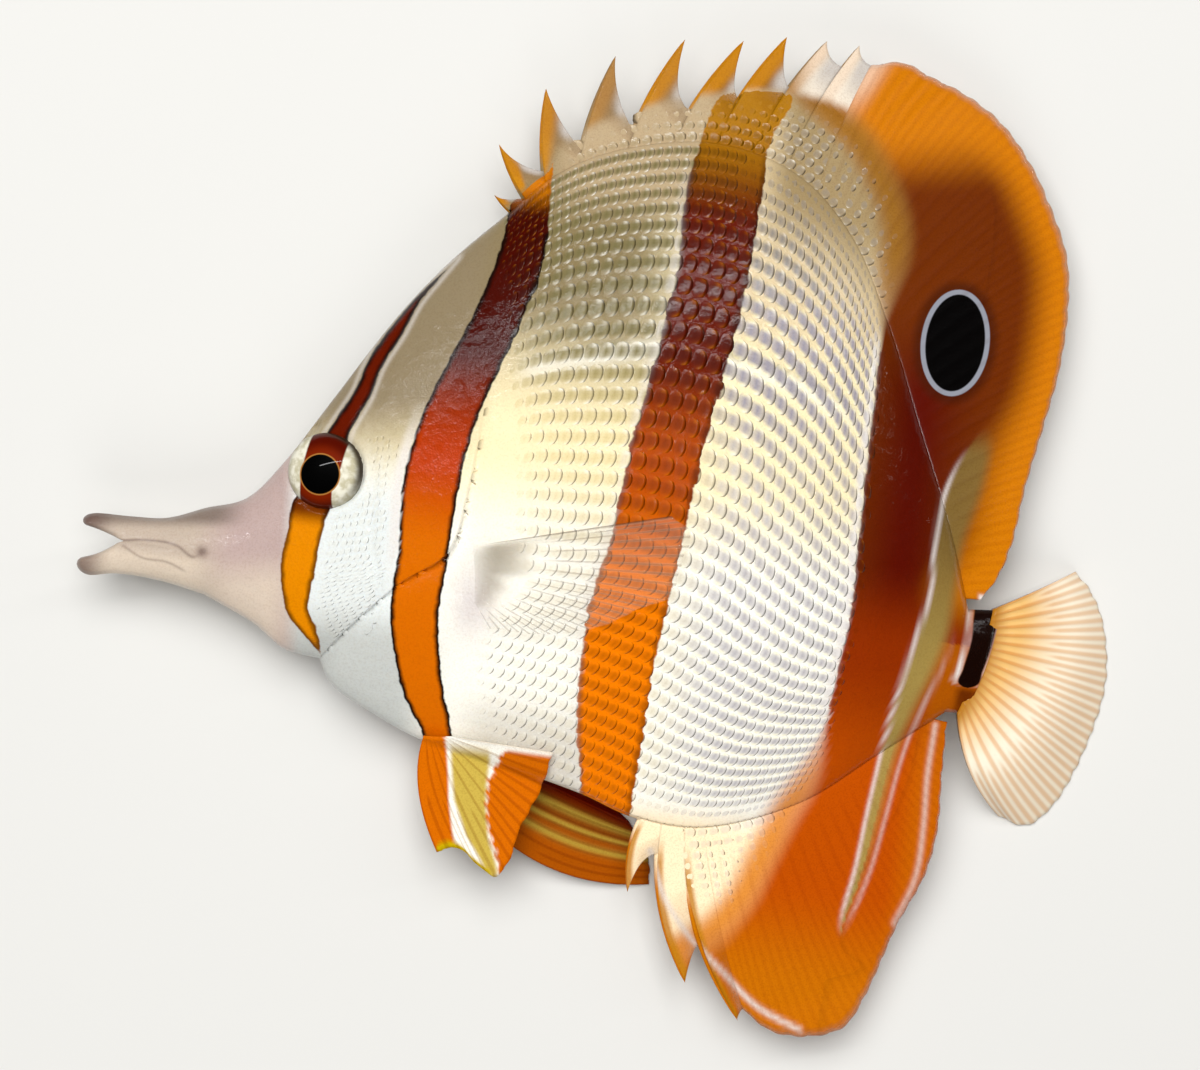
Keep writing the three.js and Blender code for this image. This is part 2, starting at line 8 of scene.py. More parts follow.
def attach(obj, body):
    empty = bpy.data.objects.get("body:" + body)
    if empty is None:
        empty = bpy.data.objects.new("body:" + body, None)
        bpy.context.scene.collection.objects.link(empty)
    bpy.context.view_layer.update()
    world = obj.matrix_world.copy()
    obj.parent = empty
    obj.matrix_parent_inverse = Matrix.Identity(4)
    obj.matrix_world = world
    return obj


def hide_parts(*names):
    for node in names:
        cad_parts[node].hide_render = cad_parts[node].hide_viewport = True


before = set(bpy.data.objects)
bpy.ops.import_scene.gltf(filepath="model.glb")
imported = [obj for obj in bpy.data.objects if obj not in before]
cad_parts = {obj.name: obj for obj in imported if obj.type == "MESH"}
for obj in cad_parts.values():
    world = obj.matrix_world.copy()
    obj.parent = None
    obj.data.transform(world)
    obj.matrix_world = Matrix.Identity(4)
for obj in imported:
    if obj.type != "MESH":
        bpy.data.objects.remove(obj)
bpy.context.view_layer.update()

# the flesh, in mm: x from the snout to the tail, y towards the back
body = {
    "midHeight": 6.15,  # the halving plane above the floor
    "inset": 0.13,  # the skin under the scales' tops
    "rim": 0.4,  # rounding along the back and the belly
    "forehead": [(-37.9, -4.5), (-34.2, -3.1), (-31.2, 0.6), (-27.3, 7.2), (-22, 16.2), (-18, 21.6),
                 (-13.5, 26.5)],
    "throat": [(-37, -12.6), (-32, -14.7), (-28.8, -16.7), (-25.4, -17.2)],
    "snoutRoot": [(-37, -12.6), (-37.5, -8.6), (-37.9, -4.5)],
    "gill": [(-25.4, -17.2), (-22.3, -13.2), (-18.3, -8.9), (-14.4, -5.6), (-13.2, 0.5), (-12.8, 11),
             (-13.1, 19), (-13.5, 26.5)],
    "belly": [(-25.4, -17.2), (-24, -19.4), (-19, -22), (-15, -23.5), (-7.2, -24.9), (0.6, -26.6),
              (5.9, -28.2), (12.3, -28.4), (21.3, -24.8), (28, -19.3), (33.8, -14.5)],
    "back": [(-13.5, 26.5), (-9, 31.2), (-3.5, 34.2), (5.7, 36), (13.5, 34), (19.2, 29), (23.6, 21.4),
             (28, 11.8), (32, 2.8), (34.7, -4.6)],
    "tailRoot": [(33.8, -14.5), (34.4, -9.5), (34.7, -4.6)],
    "tailEnd": [(35.7, -14.4), (37, -9.4), (37.8, -4.3)],
    # half thickness at stations: -1 root of the snout, 0 gill opening, 1 root of the tail
    "station": [-1, -0.75, -0.5, -0.2, 0, 0.2, 0.38, 0.55, 0.75, 0.9, 1],
    "halfWidth": [2.5, 3.3, 4.3, 5.2, 5.7, 6.3, 6.5, 6.2, 4.7, 3.1, 2.2],
    "backEdge": [0.15, 0.25, 0.35, 0.6, 0.75, 0.9, 0.95, 0.95, 0.95, 0.9, 0.6],
    "bellyEdge": [0.15, 0.2, 0.25, 0.25, 0.25, 0.3, 0.45, 0.9, 0.95, 0.9, 0.6],
    "backPower": [0.5, 0.34, 0.26, 0.4, 0.52, 0.66, 0.74, 0.78, 0.8, 0.7, 0.55],
    "bellyPower": [0.5, 0.5, 0.5, 0.5, 0.52, 0.58, 0.64, 0.72, 0.78, 0.7, 0.55],
    "gillStep": 0.35,  # the gill cover over the flank behind it
    "hollow": (-11.4, -7.4, 3.4, 3.8, 1.1),  # round the pectoral root: place, reach, depth
    "nostrils": [(-29.2, 3.1, 0.3), (-28.3, 4.4, 0.38)],  # place and radius
    "preopercle": [(-22.6, 2.4), (-22.1, 0.2), (-21.6, -5.4), (-20.4, -11), (-21.5, -14)],
    "lateralLine": [(-12.2, 12.2), (-7.2, 13.8), (-2.8, 15.2), (1.7, 16.6), (6.3, 16.1), (11, 15.8), (15.6, 14.9),
                    (20, 13.2), (25, 10.4)],
}

snout = {
    "top": [(-49.2, -6.7), (-48.2, -6.35), (-44.8, -6.2), (-41.4, -5.9), (-37.9, -4.5)],
    "bottom": [(-49.2, -11.8), (-48.1, -12.2), (-45.6, -11.75), (-41.5, -11.85), (-37, -12.6)],
    "gape": (-45.2, -8.55),  # corner of the mouth
    "upperLip": [(-45.2, -8.55), (-47.5, -7.85), (-49.2, -7.5)],
    "lowerLip": [(-45.2, -8.55), (-47.3, -10), (-49.3, -10.8)],
    # the fold over the upper jaw, and the one along the lower
    "maxilla": [(-45.2, -8.55), (-42.8, -8.2), (-40, -8.3), (-38.2, -9.2), (-37.4, -8.7)],
    "jawFold": [(-45, -9), (-43, -9.9), (-40.6, -10), (-38.4, -10.8)],
    "station": [0, 0.06, 0.14, 0.3, 0.6, 1],
    "halfWidth": [0.8, 1.2, 1.15, 1.4, 1.9, 2.5],
    "gapeShare": 0.36,
    "columns": 46,
    "jawColumns": 34,
}

eye = {
    "place": (-26.8, 0.4, 3.0), "radius": 3.62, "depth": 1.9, "tilt": 0.2, "tiltTowards": 2.75,
    "pupilAt": (-0.08, -0.5),
}

print("scene: measures set")


def smoothLine(points):
    # centripetal Catmull-Rom curve through the points, read by its share of the length in the plane
    p = np.array(points, float)
    p = np.vstack([2 * p[0] - p[1], p, 2 * p[-1] - p[-2]])
    knots = np.sqrt(np.linalg.norm(np.diff(p[:, :2], axis=0), axis=1))[:, None, None]
    a, b, c, d = (p[k : len(p) - 3 + k, None, :] for k in range(4))
    before, here, after = knots[:-2], knots[1:-1], knots[2:]
    leave = here * ((b - a) / before - (c - a) / (before + here) + (c - b) / here)
    arrive = here * ((c - b) / here - (d - b) / (here + after) + (d - c) / after)
    u = np.linspace(0, 1, 80)[None, :, None]
    q = b + leave * u + (3 * (c - b) - 2 * leave - arrive) * u**2 + (2 * (b - c) + leave + arrive) * u**3
    q = q.reshape(-1, p.shape[1])
    step = np.linalg.norm(np.diff(q[:, :2], axis=0), axis=1)
    keep = np.concatenate([[True], step > 1e-9])
    far = np.concatenate([[0], np.cumsum(step)])
    q, far = q[keep], far[keep]

    def read(share):
        at = np.asarray(share, float) * far[-1]
        return np.stack([np.interp(at, far, q[:, k]) for k in range(q.shape[1])], axis=-1)

    read.points = q
    return read


def spanned(front, rear, low, high):
    # Coons patch: the blend of four lines less the blend of their corners; s belly to back, t front to rear
    def at(s, t):
        s, t = (np.asarray(v, float)[..., None] for v in np.broadcast_arrays(s, t))
        across = front(s[..., 0]) * (1 - t) + rear(s[..., 0]) * t
        along = low(t[..., 0]) * (1 - s) + high(t[..., 0]) * s
        corners = (front(0.0) * (1 - s) + front(1.0) * s) * (1 - t) + (rear(0.0) * (1 - s) + rear(1.0) * s) * t
        return across + along - corners

    return at


def unit(v):
    return np.clip(v, 0, 1)


def ramp(low, high, v):
    # rises from 0 at low to 1 at high as 3w^2 - 2w^3
    w = unit((v - low) / (high - low))
    return w * w * (3 - 2 * w)


def bell(distance, width):
    # e to the power of minus the square of distance over width
    return np.exp(-((distance / width) ** 2))


def circled(v):
    # a quarter circle: upright at 0, level from 1 on
    return np.sqrt(unit(1 - (1 - unit(v)) ** 2))


def raised(flat, z):
    # points of the plane with their heights
    return np.concatenate([flat, z[..., None]], axis=-1)


lines = {name: smoothLine(body[name]) for name in
         ("forehead", "throat", "snoutRoot", "gill", "belly", "back", "tailRoot", "tailEnd")}
headPlan = spanned(lines["snoutRoot"], lines["gill"], lines["throat"], lines["forehead"])
torsoPlan = spanned(lines["gill"], lines["tailRoot"], lines["belly"], lines["back"])
tailPlan = spanned(lines["tailRoot"], lines["tailEnd"],
                   smoothLine([body["tailRoot"][0], body["tailEnd"][0]]),
                   smoothLine([body["tailRoot"][2], body["tailEnd"][2]]))


def plan(s, a):
    # one chart of the body: a is -1 at the snout's root, 0 at the gill line, 1 at the tail's root, 2 at its end
    s, a = np.broadcast_arrays(np.asarray(s, float), np.asarray(a, float))
    out = np.where((a < 0)[..., None], headPlan(s, unit(a + 1)), torsoPlan(s, unit(a)))
    return np.where((a > 1)[..., None], tailPlan(s, unit(a - 1)), out)


def heightAt(a):
    # mm from the belly line to the back line
    return np.linalg.norm(plan(1.0, a) - plan(0.0, a), axis=-1)


def fleshHalf(s, a):
    # edge + (width - edge) sin(pi s)^power, each read from the girth table at station a
    read = lambda name: np.interp(np.clip(a, -1, 1), body["station"], body[name])
    edge, power = (np.where(s < 0.5, read("belly" + word), read("back" + word)) for word in ("Edge", "Power"))
    half = edge + (read("halfWidth") - edge) * np.sin(np.pi * unit(s)) ** power
    return half * np.where(a > 1, 1 - 0.4 * unit(a - 1), 1)


def hollowDepth(x, y):
    # the hollow round the pectoral root: depth times a bell in both directions
    hx, hy, along, across, depth = body["hollow"]
    return depth * np.exp(-(((x - hx) / along) ** 2) - ((y - hy) / across) ** 2)


def lineDistance(x, y, points):
    # distance to a smooth line, by its nearest sample, and the share where that lies
    q = smoothLine(points)(np.linspace(0, 1, 90))
    flat = np.stack([np.ravel(x), np.ravel(y)], axis=1)
    away = np.full(len(flat), 1e9)
    share = np.zeros(len(flat))
    for k in range(len(q) - 1):
        side = q[k + 1, :2] - q[k, :2]
        w = unit(((flat - q[k, :2]) @ side) / (side @ side))
        d = np.hypot(*(flat - q[k, :2] - w[:, None] * side).T)
        nearer = d < away
        away = np.where(nearer, d, away)
        share = np.where(nearer, (k + w) / (len(q) - 1), share)
    return away.reshape(np.shape(x)), share.reshape(np.shape(x))


def skinHalf(s, a, x, y, underFins):
    # the flesh less the inset, rounded off at the rim, with the relief of the gill cover, sockets and grooves;
    # the scales' ground isn't rounded where a fin stands, so that they run on over its base
    half = fleshHalf(s, a) - body["inset"] - hollowDepth(x, y) * (a >= 0)
    cover = ramp(0.6, 0.95, a + 1) * ramp(0, 0.08, s) * (1 - ramp(0.42, 0.6, s))
    behind = unit(a) * 48  # mm behind the gill line
    half = half + np.where(a < 0, body["gillStep"] * cover, 0)
    half = half - np.where(a >= 0, 0.16 * bell(behind - 0.25, 0.7) * (1 - ramp(0.5, 0.7, s)), 0)
    half = half - 0.13 * bell(lineDistance(x, y, body["preopercle"])[0], 0.3)
    far = np.hypot(x - eye["place"][0], y - eye["place"][1])
    socket = 1 - ramp(3.5, 3.78, far)
    half = half * (1 - socket) + np.minimum(half, 3.5) * socket + 0.13 * bell(far - 4.05, 0.35)
    for nx, ny, r in body["nostrils"]:
        away = np.hypot(x - nx, y - ny)
        half = half - 0.45 * (1 - ramp(0.4 * r, 1.2 * r, away)) + 0.1 * bell(away - 1.6 * r, 0.14)
    inward = unit(np.minimum(s, 1 - s) * heightAt(a) / body["rim"])
    finned = np.where(s > 0.5, ramp(0, 0.05, a), ramp(0.46, 0.53, a)) * underFins
    return half * circled(inward + (1 - inward) * finned)


def onSkin(s, a, side, lift=None, underFins=0.0):
    # a point of the left (1) or right (-1) flank, lifted along the surface's own normal
    def place(s, a):
        p = plan(s, a)
        return raised(p, side * skinHalf(s, a, p[..., 0], p[..., 1], underFins))

    if lift is None:
        return place(s, a)
    h = 4e-3
    du = place(unit(s + h), a) - place(unit(s - h), a)
    dv = place(s, np.clip(a + h, -1, 2)) - place(s, np.clip(a - h, -1, 2))
    normal = np.cross(dv, du) * side
    normal /= np.maximum(np.linalg.norm(normal, axis=-1, keepdims=True), 1e-9)
    return place(s, a) + normal * lift[..., None]


def linear(hexColour):
    # sRGB hex to linear light
    v = np.array([int(hexColour[k : k + 2], 16) / 255 for k in (1, 3, 5)])
    return np.where(v <= 0.04045, v / 12.92, ((v + 0.055) / 1.055) ** 2.4)


pattern = {
    # bands: centre x, y and half width, from the back to the belly
    "eyeTop": [(-17.3, 21.8, -0.1), (-18.8, 19.8, 0.12), (-20.6, 17.2, 0.34), (-22.2, 14, 0.73), (-23.6, 10.9, 0.75),
               (-24.4, 7.9, 0.8), (-26, 4.3, 0.97), (-26.8, 1.5, 1.5), (-27, -0.5, 1.5)],
    "eyeLow": [(-27, -0.5, 1.5), (-27.8, -3.5, 1.75), (-28, -5.7, 1.62), (-28.2, -8.9, 1.63), (-27.8, -12.9, 1.02),
               (-26.5, -14.7, 0.68), (-25.2, -16.8, 0), (-24.6, -18.6, -0.4)],
    "gill": [(-11, 33, 1.3), (-11.2, 28.3, 1.84), (-11.3, 22.8, 2.13), (-12.6, 17.1, 2.21), (-14.6, 11.1, 2.34),
             (-16, 6.4, 2.49), (-16.8, 0.7, 2.62), (-16.7, -6.3, 2.34), (-16.8, -11.8, 2.26), (-15.3, -18.5, 1.92),
             (-13.5, -22.6, 1.39), (-13.2, -24.5, 1.3)],
    "middle": [(9.8, 42.8, -0.4), (9.2, 41.4, 2.2), (8.2, 39.6, 3.1), (7.3, 36.9, 3.1), (6.7, 31.3, 3.5),
               (6.5, 22.9, 3.33), (5.6, 14.7, 3.27), (4.4, 6.5, 3.29), (3.7, -2, 3.31), (2.6, -10.2, 3.54),
               (2.6, -19.7, 3.09), (3, -25.2, 2.56), (3.2, -28.5, 2.3)],
    "rearEdge": [(8, 45.2), (13, 42.4), (15.5, 40.5), (19.2, 37.4), (21.6, 34), (23, 31), (23.5, 28.5),
                 (23.2, 24), (23.1, 19.8), (23.1, 13.1), (23.1, 6.7), (23.2, 0.2), (23.3, -6.3), (22.8, -12.9),
                 (22.1, -19.4), (21, -23.2), (19.9, -25.9), (18.4, -30.2), (16.9, -34.4), (14.2, -38.1),
                 (10, -41)],
    "cream": [(35.4, 14.6, -0.5), (34.7, 12.7, 0.75), (33.4, 7.6, 1.91), (32.3, 1.3, 1.75), (32.2, -3.5, 1.55),
              (31.6, -7.8, 1.75), (29.9, -15.1, 1.3), (29.2, -19.6, 1.02), (28.6, -25, 0.92), (28, -30.5, 0.72),
              (26.9, -35.8, 0.32), (26.6, -38, -0.3)],
    "bar": [(36.5, -3.6, 0.5), (36.4, -4.4, 1.1), (36.2, -7.6, 1.06), (35.7, -10.2, 1.0), (35.4, -11.6, 0.9),
            (35.3, -12, 0)],
    "analLine": [(7.9, -31), (9.8, -35.2), (12.7, -38.7), (16.2, -41.6), (19.9, -44.5), (24.2, -46.2)],
    "analRear": [(33, -15.8), (32.9, -20.6), (33.2, -25.5), (33.1, -30.4), (31.7, -35)],
    "spot": (30.18, 20.15, 2.83, 4.62),  # eyespot: centre, half axes
    # lines along the fins' margins
    "dorsal": [(18.9, 45.1), (19.5, 45.3), (22, 45.8), (24.6, 44.9), (28.2, 43.7), (31.8, 41.6), (34.9, 38.4),
               (37.8, 33.9), (39.8, 29.6), (40.5, 25.2), (40.4, 18.9), (39.6, 13.6), (38.6, 7.6), (38, 2),
               (37, -1.4), (35.7, -3.6)],
    "anal": [(18.6, -44.9), (19.1, -45.3), (21.6, -46.7), (25.2, -46.7), (28.3, -45.4), (30, -42), (32, -35.2),
             (34, -30), (34.6, -25.5), (34.3, -20.5), (34.1, -15.4)],
}


def bandMeasure(name, x, y):
    # signed distance to a band's nearer edge, positive inside, from its centre line and half width at this y;
    # a band without a width is an edge, positive behind; then how far x lies behind the line
    q = smoothLine(pattern[name]).points
    q = q[np.argsort(q[:, 1])]
    read = lambda v: np.interp(y, q[:, 1], v)
    slope = read(np.gradient(q[:, 0], q[:, 1] + np.arange(len(q)) * 1e-9))
    behind, stretch = x - read(q[:, 0]), np.sqrt(1 + np.clip(slope, -2, 2) ** 2)
    if q.shape[1] == 2:
        return behind / stretch, behind
    inside = read(q[:, 2]) - np.abs(behind) / stretch
    over = np.maximum(y - q[-1, 1], q[0, 1] - y)
    return np.where(over > 0, np.minimum(inside, -over), inside), behind


tints = {
    "nape": "#85765b", "shoulder": "#81714e", "top": "#b19b79", "topRear": "#d2bd96", "cream": "#efdfb3",
    "white": "#f2efe3", "silver": "#d9ddda", "breast": "#bbbdb8", "belly": "#d3cdc0", "glow": "#fbe4bc",
    "snout": "#b7a797", "snoutTop": "#64564e", "jaw": "#d5c5b1", "forehead": "#b29c96", "lip": "#5b433d",
    "maroon": "#400700", "rust": "#5c1300", "red": "#b13600", "orange": "#cb6400", "gold": "#d57f00",
    "deep": "#520a00", "amber": "#c27003", "brown": "#652800", "ember": "#862a00", "clay": "#b34800",
    "creamHigh": "#735c2d", "creamLow": "#9a8646", "ginger": "#ec7800", "clear": "#efe6d4", "yellow": "#bb9d03",
    "darkRed": "#630c00", "olive": "#876b14", "web": "#c9c3bb", "lilac": "#bbb0b1", "horn": "#917751",
    "umber": "#8c5c10", "golden": "#b97a10", "butter": "#f0e5a6", "dusk": "#8b754d", "pocketHigh": "#69613a",
    "pocketLow": "#bba662", "pocketRear": "#928c96", "black": "#140502", "line": "#dcd6d0", "fleck": "#a07850",
    "halo": "#3c1403", "ring": "#84868f", "spot": "#020101", "bar": "#120401",
}


def colourOf(tint):
    # linear light of a tint's name or of an sRGB hex; linear colours stay as they are
    return linear(tints.get(tint, tint)) if isinstance(tint, str) else tint


def layered(base, *coats):
    # coats laid over a base in turn, each a tint and its share from 0 to 1
    out = colourOf(base)
    for tint, share in coats:
        w = unit(share)[..., None]
        out = out * (1 - w) + colourOf(tint) * w
    return out


def groundTints(x, y):
    # the silvery ground: olive-tan above, cream to white below, silver on the cheek, grey-pink on the snout
    out = layered(
        "white",
        ("cream", ramp(-6, 5, y)),
        ("shoulder", ramp(6, 20, y) * ramp(9, -2, x)),
        ("topRear", ramp(13, 22, y) * ramp(5, 10, x)),
        ("dusk", ramp(24, 33, y + 0.3 * (x - 12)) * ramp(9, 13, x) * 0.85),
        ("top", ramp(25, 32, y) * ramp(-12, -7, x) * ramp(12, 4, x)),
        ("nape", ramp(1, 11, y + 0.25 * (-12 - x)) * ramp(-11.5, -16, x)),
        ("silver", ramp(-15, -20, x) * ramp(5, -3, y)),
        ("breast", ramp(-11, -15, y) * ramp(-12, -18, x)),
        ("belly", ramp(-17, -22, y) * ramp(-14, -8, x) * ramp(4, 0, x)),
        ("forehead", ramp(-28.6, -31, x + 0.1 * y)),
        ("jaw", ramp(-7.5, -12, y - 0.2 * (x + 33)) * ramp(-27, -31, x) * 0.8),
        ("snout", ramp(-34, -39, x)),
        ("snoutTop", 0.75 * ramp(-7.6, -6.2, y - 0.12 * (x + 45)) * ramp(-33, -37, x)),
        ("jaw", 0.8 * ramp(-8.8, -10, y) * ramp(-35, -39, x)),
        ("lip", ramp(-45.6, -48.6, x) * 0.75),
        ("lip", 0.75 * bell(np.hypot(x + 37.4, y + 8.6), 0.5)))
    # painted shade: dark lines in the folds over the upper jaw and along the lower
    for fold, strength in (("maxilla", 0.55), ("jawFold", 0.4)):
        away, share = lineDistance(x, y, snout[fold])
        out = layered(out, ("lip", strength * bell(away, 0.13) * ramp(1, 0.85, share)))
    # the lateral line: a thin dark line over a row of pale scales, their brightness partly painted glints
    under = np.interp(x, *np.array(body["lateralLine"]).T) - y
    inside = ramp(-11, -8, x) * ramp(23, 18, x)
    return layered(
        out,
        ("lilac", 0.7 * bell(np.hypot((x + 11.6) / 2.2, (y + 10) / 3.6), 1)),
        ("glow", ramp(-25.5, -29, y) * ramp(0, 5, x)),
        ("white", 0.6 * bell(under - 1.0, 0.8) * inside),
        ("pocketHigh", 0.6 * bell(under, 0.2) * inside))


def markings(x, y):
    # ground colour, band colour and signed distances in mm at points of the halving plane
    (eyeTop, _), (eyeLow, _), (gill, _), (middle, _), (cream, creamSide), (bar, _), (rear, _) = (
        bandMeasure(name, x, y) for name in ("eyeTop", "eyeLow", "gill", "middle", "cream", "bar", "rearEdge"))
    eyeBand = layered("rust", ("brown", ramp(1, -2.5, y)), ("gold", ramp(-3.2, -5.2, y)))
    gillBand = layered("maroon", ("red", ramp(14, 2, y)), ("orange", ramp(3, -6, y)), ("amber", ramp(26.5, 30, y)))
    middleBand = layered(colourOf("olive") * 0.6 + colourOf("amber") * 0.4, ("rust", ramp(39, 28, y)),
                         ("clay", ramp(16, 4, y) * 0.9), ("ginger", ramp(4, -8, y)))
    # behind: brown about the eyespot, dark maroon on the flank, amber towards the margins, and on it the
    # olive-cream band, crisp in front, soft behind and at its top
    margin = lineDistance(x, y, pattern["dorsal"])[0] / (5 + 2 * ramp(17, 8, y))
    creamSoft = ramp(0, 0.3, cream) * np.where(creamSide > 0, ramp(0, 1.5, cream), 1)
    rearBand = layered(
        "brown",
        ("deep", ramp(24, 14, y) * bell((x - 27.6) / 1.0, 4.4)),
        ("ember", ramp(-1, -10, y)),
        ("clay", ramp(-10, -22, y)),
        ("amber", ramp(1, 0.15, margin) * ramp(-8, -2, y)),
        ("amber", ramp(33, 40, y + 0.2 * (24 - x))),
        ("amber", 0.75 * ramp(-32, -43, y) + 0.4 * ramp(30, 33, x) * (y < -8)),
        ("brown", ramp(34, 35, x) * ramp(-11.5, -12.5, y) * (y > -17)),
        (layered("creamLow", ("creamHigh", ramp(-14, 4, y))), 0.92 * creamSoft * ramp(13, 9.5, y) * (x > 24)))
    band = np.where((np.maximum(eyeTop, eyeLow) > -1)[..., None], eyeBand, gillBand)
    band = np.where((x > -6)[..., None], middleBand, band)
    band = np.where((x > 14 - 1.5 * (y > 38))[..., None], rearBand, band)
    # the rear band's edge is crisp on the flank and fades over some mm on the fins
    away = np.maximum(ramp(18, 28, y), ramp(-15, -24.5, y))
    veil = ramp(-0.12 - 2.4 * away, 0.12 + 2.2 * away, rear)
    dusky = layered("umber", ("gold", ramp(-5, -20, y)))
    ground = layered(groundTints(x, y), (rearBand, veil), (dusky, 3.4 * veil * (1 - veil) * away))
    crispRear = rear - 9 * np.maximum(ramp(18.5, 19.5, y), ramp(-15.5, -16.5, y))
    stripe = np.maximum.reduce([eyeTop, eyeLow, gill, middle, crispRear])
    # strength of the near-black edge inside each band
    dark = np.where(x > 15, 0.1, np.where(x > -6, 0.5, 1.0)) * np.where(x > -6, ramp(37, 33, y), 1)
    dark = dark * np.where((x < -20) & (y < -2), 0.75, 1.0)
    dark = dark * (1 - 0.8 * (np.abs(y - 33) < 8) * (x > -13) * (x < -8))
    # pale lines outside the bands, along the cream band's front and inside the anal fin's margin
    cheek = ramp(-1.3, -0.5, gill) * (gill < 0) * (x < -16) * ramp(9, 2, y) * ramp(-9, -5, y)
    front = ramp(-37, -33, y) * ramp(11, 6, y) * np.where(creamSide < 0, 1, 0.5 * ramp(-6, -14, y))
    analLine, analRear = (bell(lineDistance(x, y, pattern[name])[0], 0.28) * (y < -14)
                          for name in ("analLine", "analRear"))
    pale = np.maximum.reduce([
        0.85 * bell(rear + 0.42, 0.3) * ramp(21, 18, y) * ramp(-18, -15, y),
        0.45 * bell(middle + 0.3, 0.28) * (x < 5) * (x > -12) * ramp(34, 31, y),
        0.8 * cheek, 0.4 * bell(eyeTop + 0.25, 0.22),
        0.7 * bell(cream - 0.02, 0.2) * front * (x > 24),
        bell(bar + 0.3, 0.22) * ramp(-12, -11, y) * (x > 32),
        0.75 * analLine, 0.45 * analRear])
    sx, sy, ax, ay = pattern["spot"]
    u, v = (x - sx) / ax, (y - sy) / ay
    ring = np.hypot(u, v)
    spot = (ring - 1) * ax * ay / np.hypot(ay * u, ax * v + 1e-9) * np.maximum(ring, 1e-3)
    return {"ground": ground, "band": band, "marks": np.stack([stripe, dark, pale], axis=-1),
            "spots": np.stack([spot, bar, veil], axis=-1)}


def gridQuads(rows, columns, closed=False):
    # quads of a grid numbered row by row; closed joins the last column to the first
    i, j = np.meshgrid(np.arange(rows - 1), np.arange(columns if closed else columns - 1), indexing="ij")
    here, beside = i * columns + j, i * columns + (j + 1) % columns
    return np.stack([here, here + columns, beside + columns, beside], axis=-1).reshape(-1, 4)


def joined(parts):
    # one mesh of parts given as (points, quads, values)
    start = np.cumsum([0] + [len(p[0]) for p in parts])
    quads = np.vstack([p[1] + k for p, k in zip(parts, start)])
    return (np.vstack([p[0] for p in parts]), quads,
            {key: np.concatenate([p[2][key] for p in parts]) for key in parts[0][2]})


def weld(parts, tolerance=2e-4):
    # joins parts and merges the points that meet
    points, quads, values = joined(parts)
    _, first, back = np.unique(np.round(points / tolerance), axis=0, return_index=True, return_inverse=True)
    return points[first], back.ravel()[quads], {key: value[first] for key, value in values.items()}


def makePiece(name, part, material, slotName, *nodes):
    # a mesh in metres from points in mm; quads that have shrunk to a triangle are written as one
    points, quads, values = part
    points = points + [0, 0, body["midHeight"]]
    points[:, 2] = np.maximum(points[:, 2], 0.012)
    same = quads == np.roll(quads, -1, axis=1)
    whole = quads[same.sum(1) == 0]
    whole = whole[(whole[:, 0] != whole[:, 2]) & (whole[:, 1] != whole[:, 3])]
    short = quads[same.sum(1) == 1]
    at = np.argmax(short == np.roll(short, -1, axis=1), axis=1)
    tris = np.stack([short[np.arange(len(short)), (at + k) % 4] for k in (1, 2, 3)], axis=1)
    corners = np.concatenate([whole.ravel(), tris.ravel()])
    sizes = np.repeat([4, 3], [len(whole), len(tris)])
    mesh = bpy.data.meshes.new(name)
    mesh.vertices.add(len(points))
    mesh.loops.add(len(corners))
    mesh.polygons.add(len(sizes))
    for data, key, value in (
        (mesh.vertices, "co", (points * 0.001).astype(np.float32)),
        (mesh.loops, "vertex_index", corners.astype(np.int32)),
        (mesh.polygons, "loop_start", (np.cumsum(sizes) - sizes).astype(np.int32)),
        (mesh.polygons, "loop_total", sizes.astype(np.int32)),
        (mesh.polygons, "use_smooth", np.ones(len(sizes), bool)),
    ):
        data.foreach_set(key, value.ravel())
    for key, value in values.items():
        value = np.asarray(value, np.float32)
        if key == "OFBake":
            mesh.uv_layers.new(name=key).data.foreach_set("uv", value[corners].ravel())
        elif key in ("ground", "band"):
            value = np.hstack([value, np.ones((len(value), 1), np.float32)])
            mesh.attributes.new(key, "FLOAT_COLOR", "POINT").data.foreach_set("color", value.ravel())
        else:
            mesh.attributes.new(key, "FLOAT_VECTOR", "POINT").data.foreach_set("vector", value.ravel())
    mesh.update(calc_edges=True)
    mesh.validate()
    mesh.materials.append(material)
    piece = bpy.data.objects.new(name, mesh)
    bpy.context.scene.collection.objects.link(piece)
    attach(piece, "root")
    if nodes:
        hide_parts(*nodes)
    print("scene:", name, len(whole) * 2 + len(tris), "triangles")


def node(tree, kind, inputs=(), **settings):
    # adds one node with its settings; inputs go by their names or in order, each a value or a node's output
    made = tree.nodes.new("ShaderNode" + kind)
    for key, value in settings.items():
        setattr(made, key, value)
    for key, value in inputs.items() if isinstance(inputs, dict) else enumerate(inputs):
        if isinstance(value, bpy.types.NodeSocket):
            tree.links.new(value, made.inputs[key])
        else:
            made.inputs[key].default_value = value
    return made.outputs


def rgba(tint):
    return (*colourOf(tint), 1.0)


smooth = {"interpolation_type": "SMOOTHSTEP"}
tinting = {"data_type": "RGBA"}
shading = {"data_type": "RGBA", "blend_type": "MULTIPLY"}
times, timesPlus = {"operation": "MULTIPLY"}, {"operation": "MULTIPLY_ADD"}


def emptyMaterial(name):
    made = bpy.data.materials.new(name)
    made.use_nodes = True
    made.node_tree.nodes.clear()
    return made, made.node_tree, node(made.node_tree, "TexCoord")["Object"]


def inked(tree, colour, *inks):
    # each ink covers the colour by its most where the value passes from start to end
    for value, start, end, most, ink, mode in inks:
        share = node(tree, "MapRange", [value, start, end, 0, most], **smooth)[0]
        colour = node(tree, "Mix", {0: share, 6: colour, 7: rgba(ink) if isinstance(ink, str) else ink}, **mode)[2]
    return colour


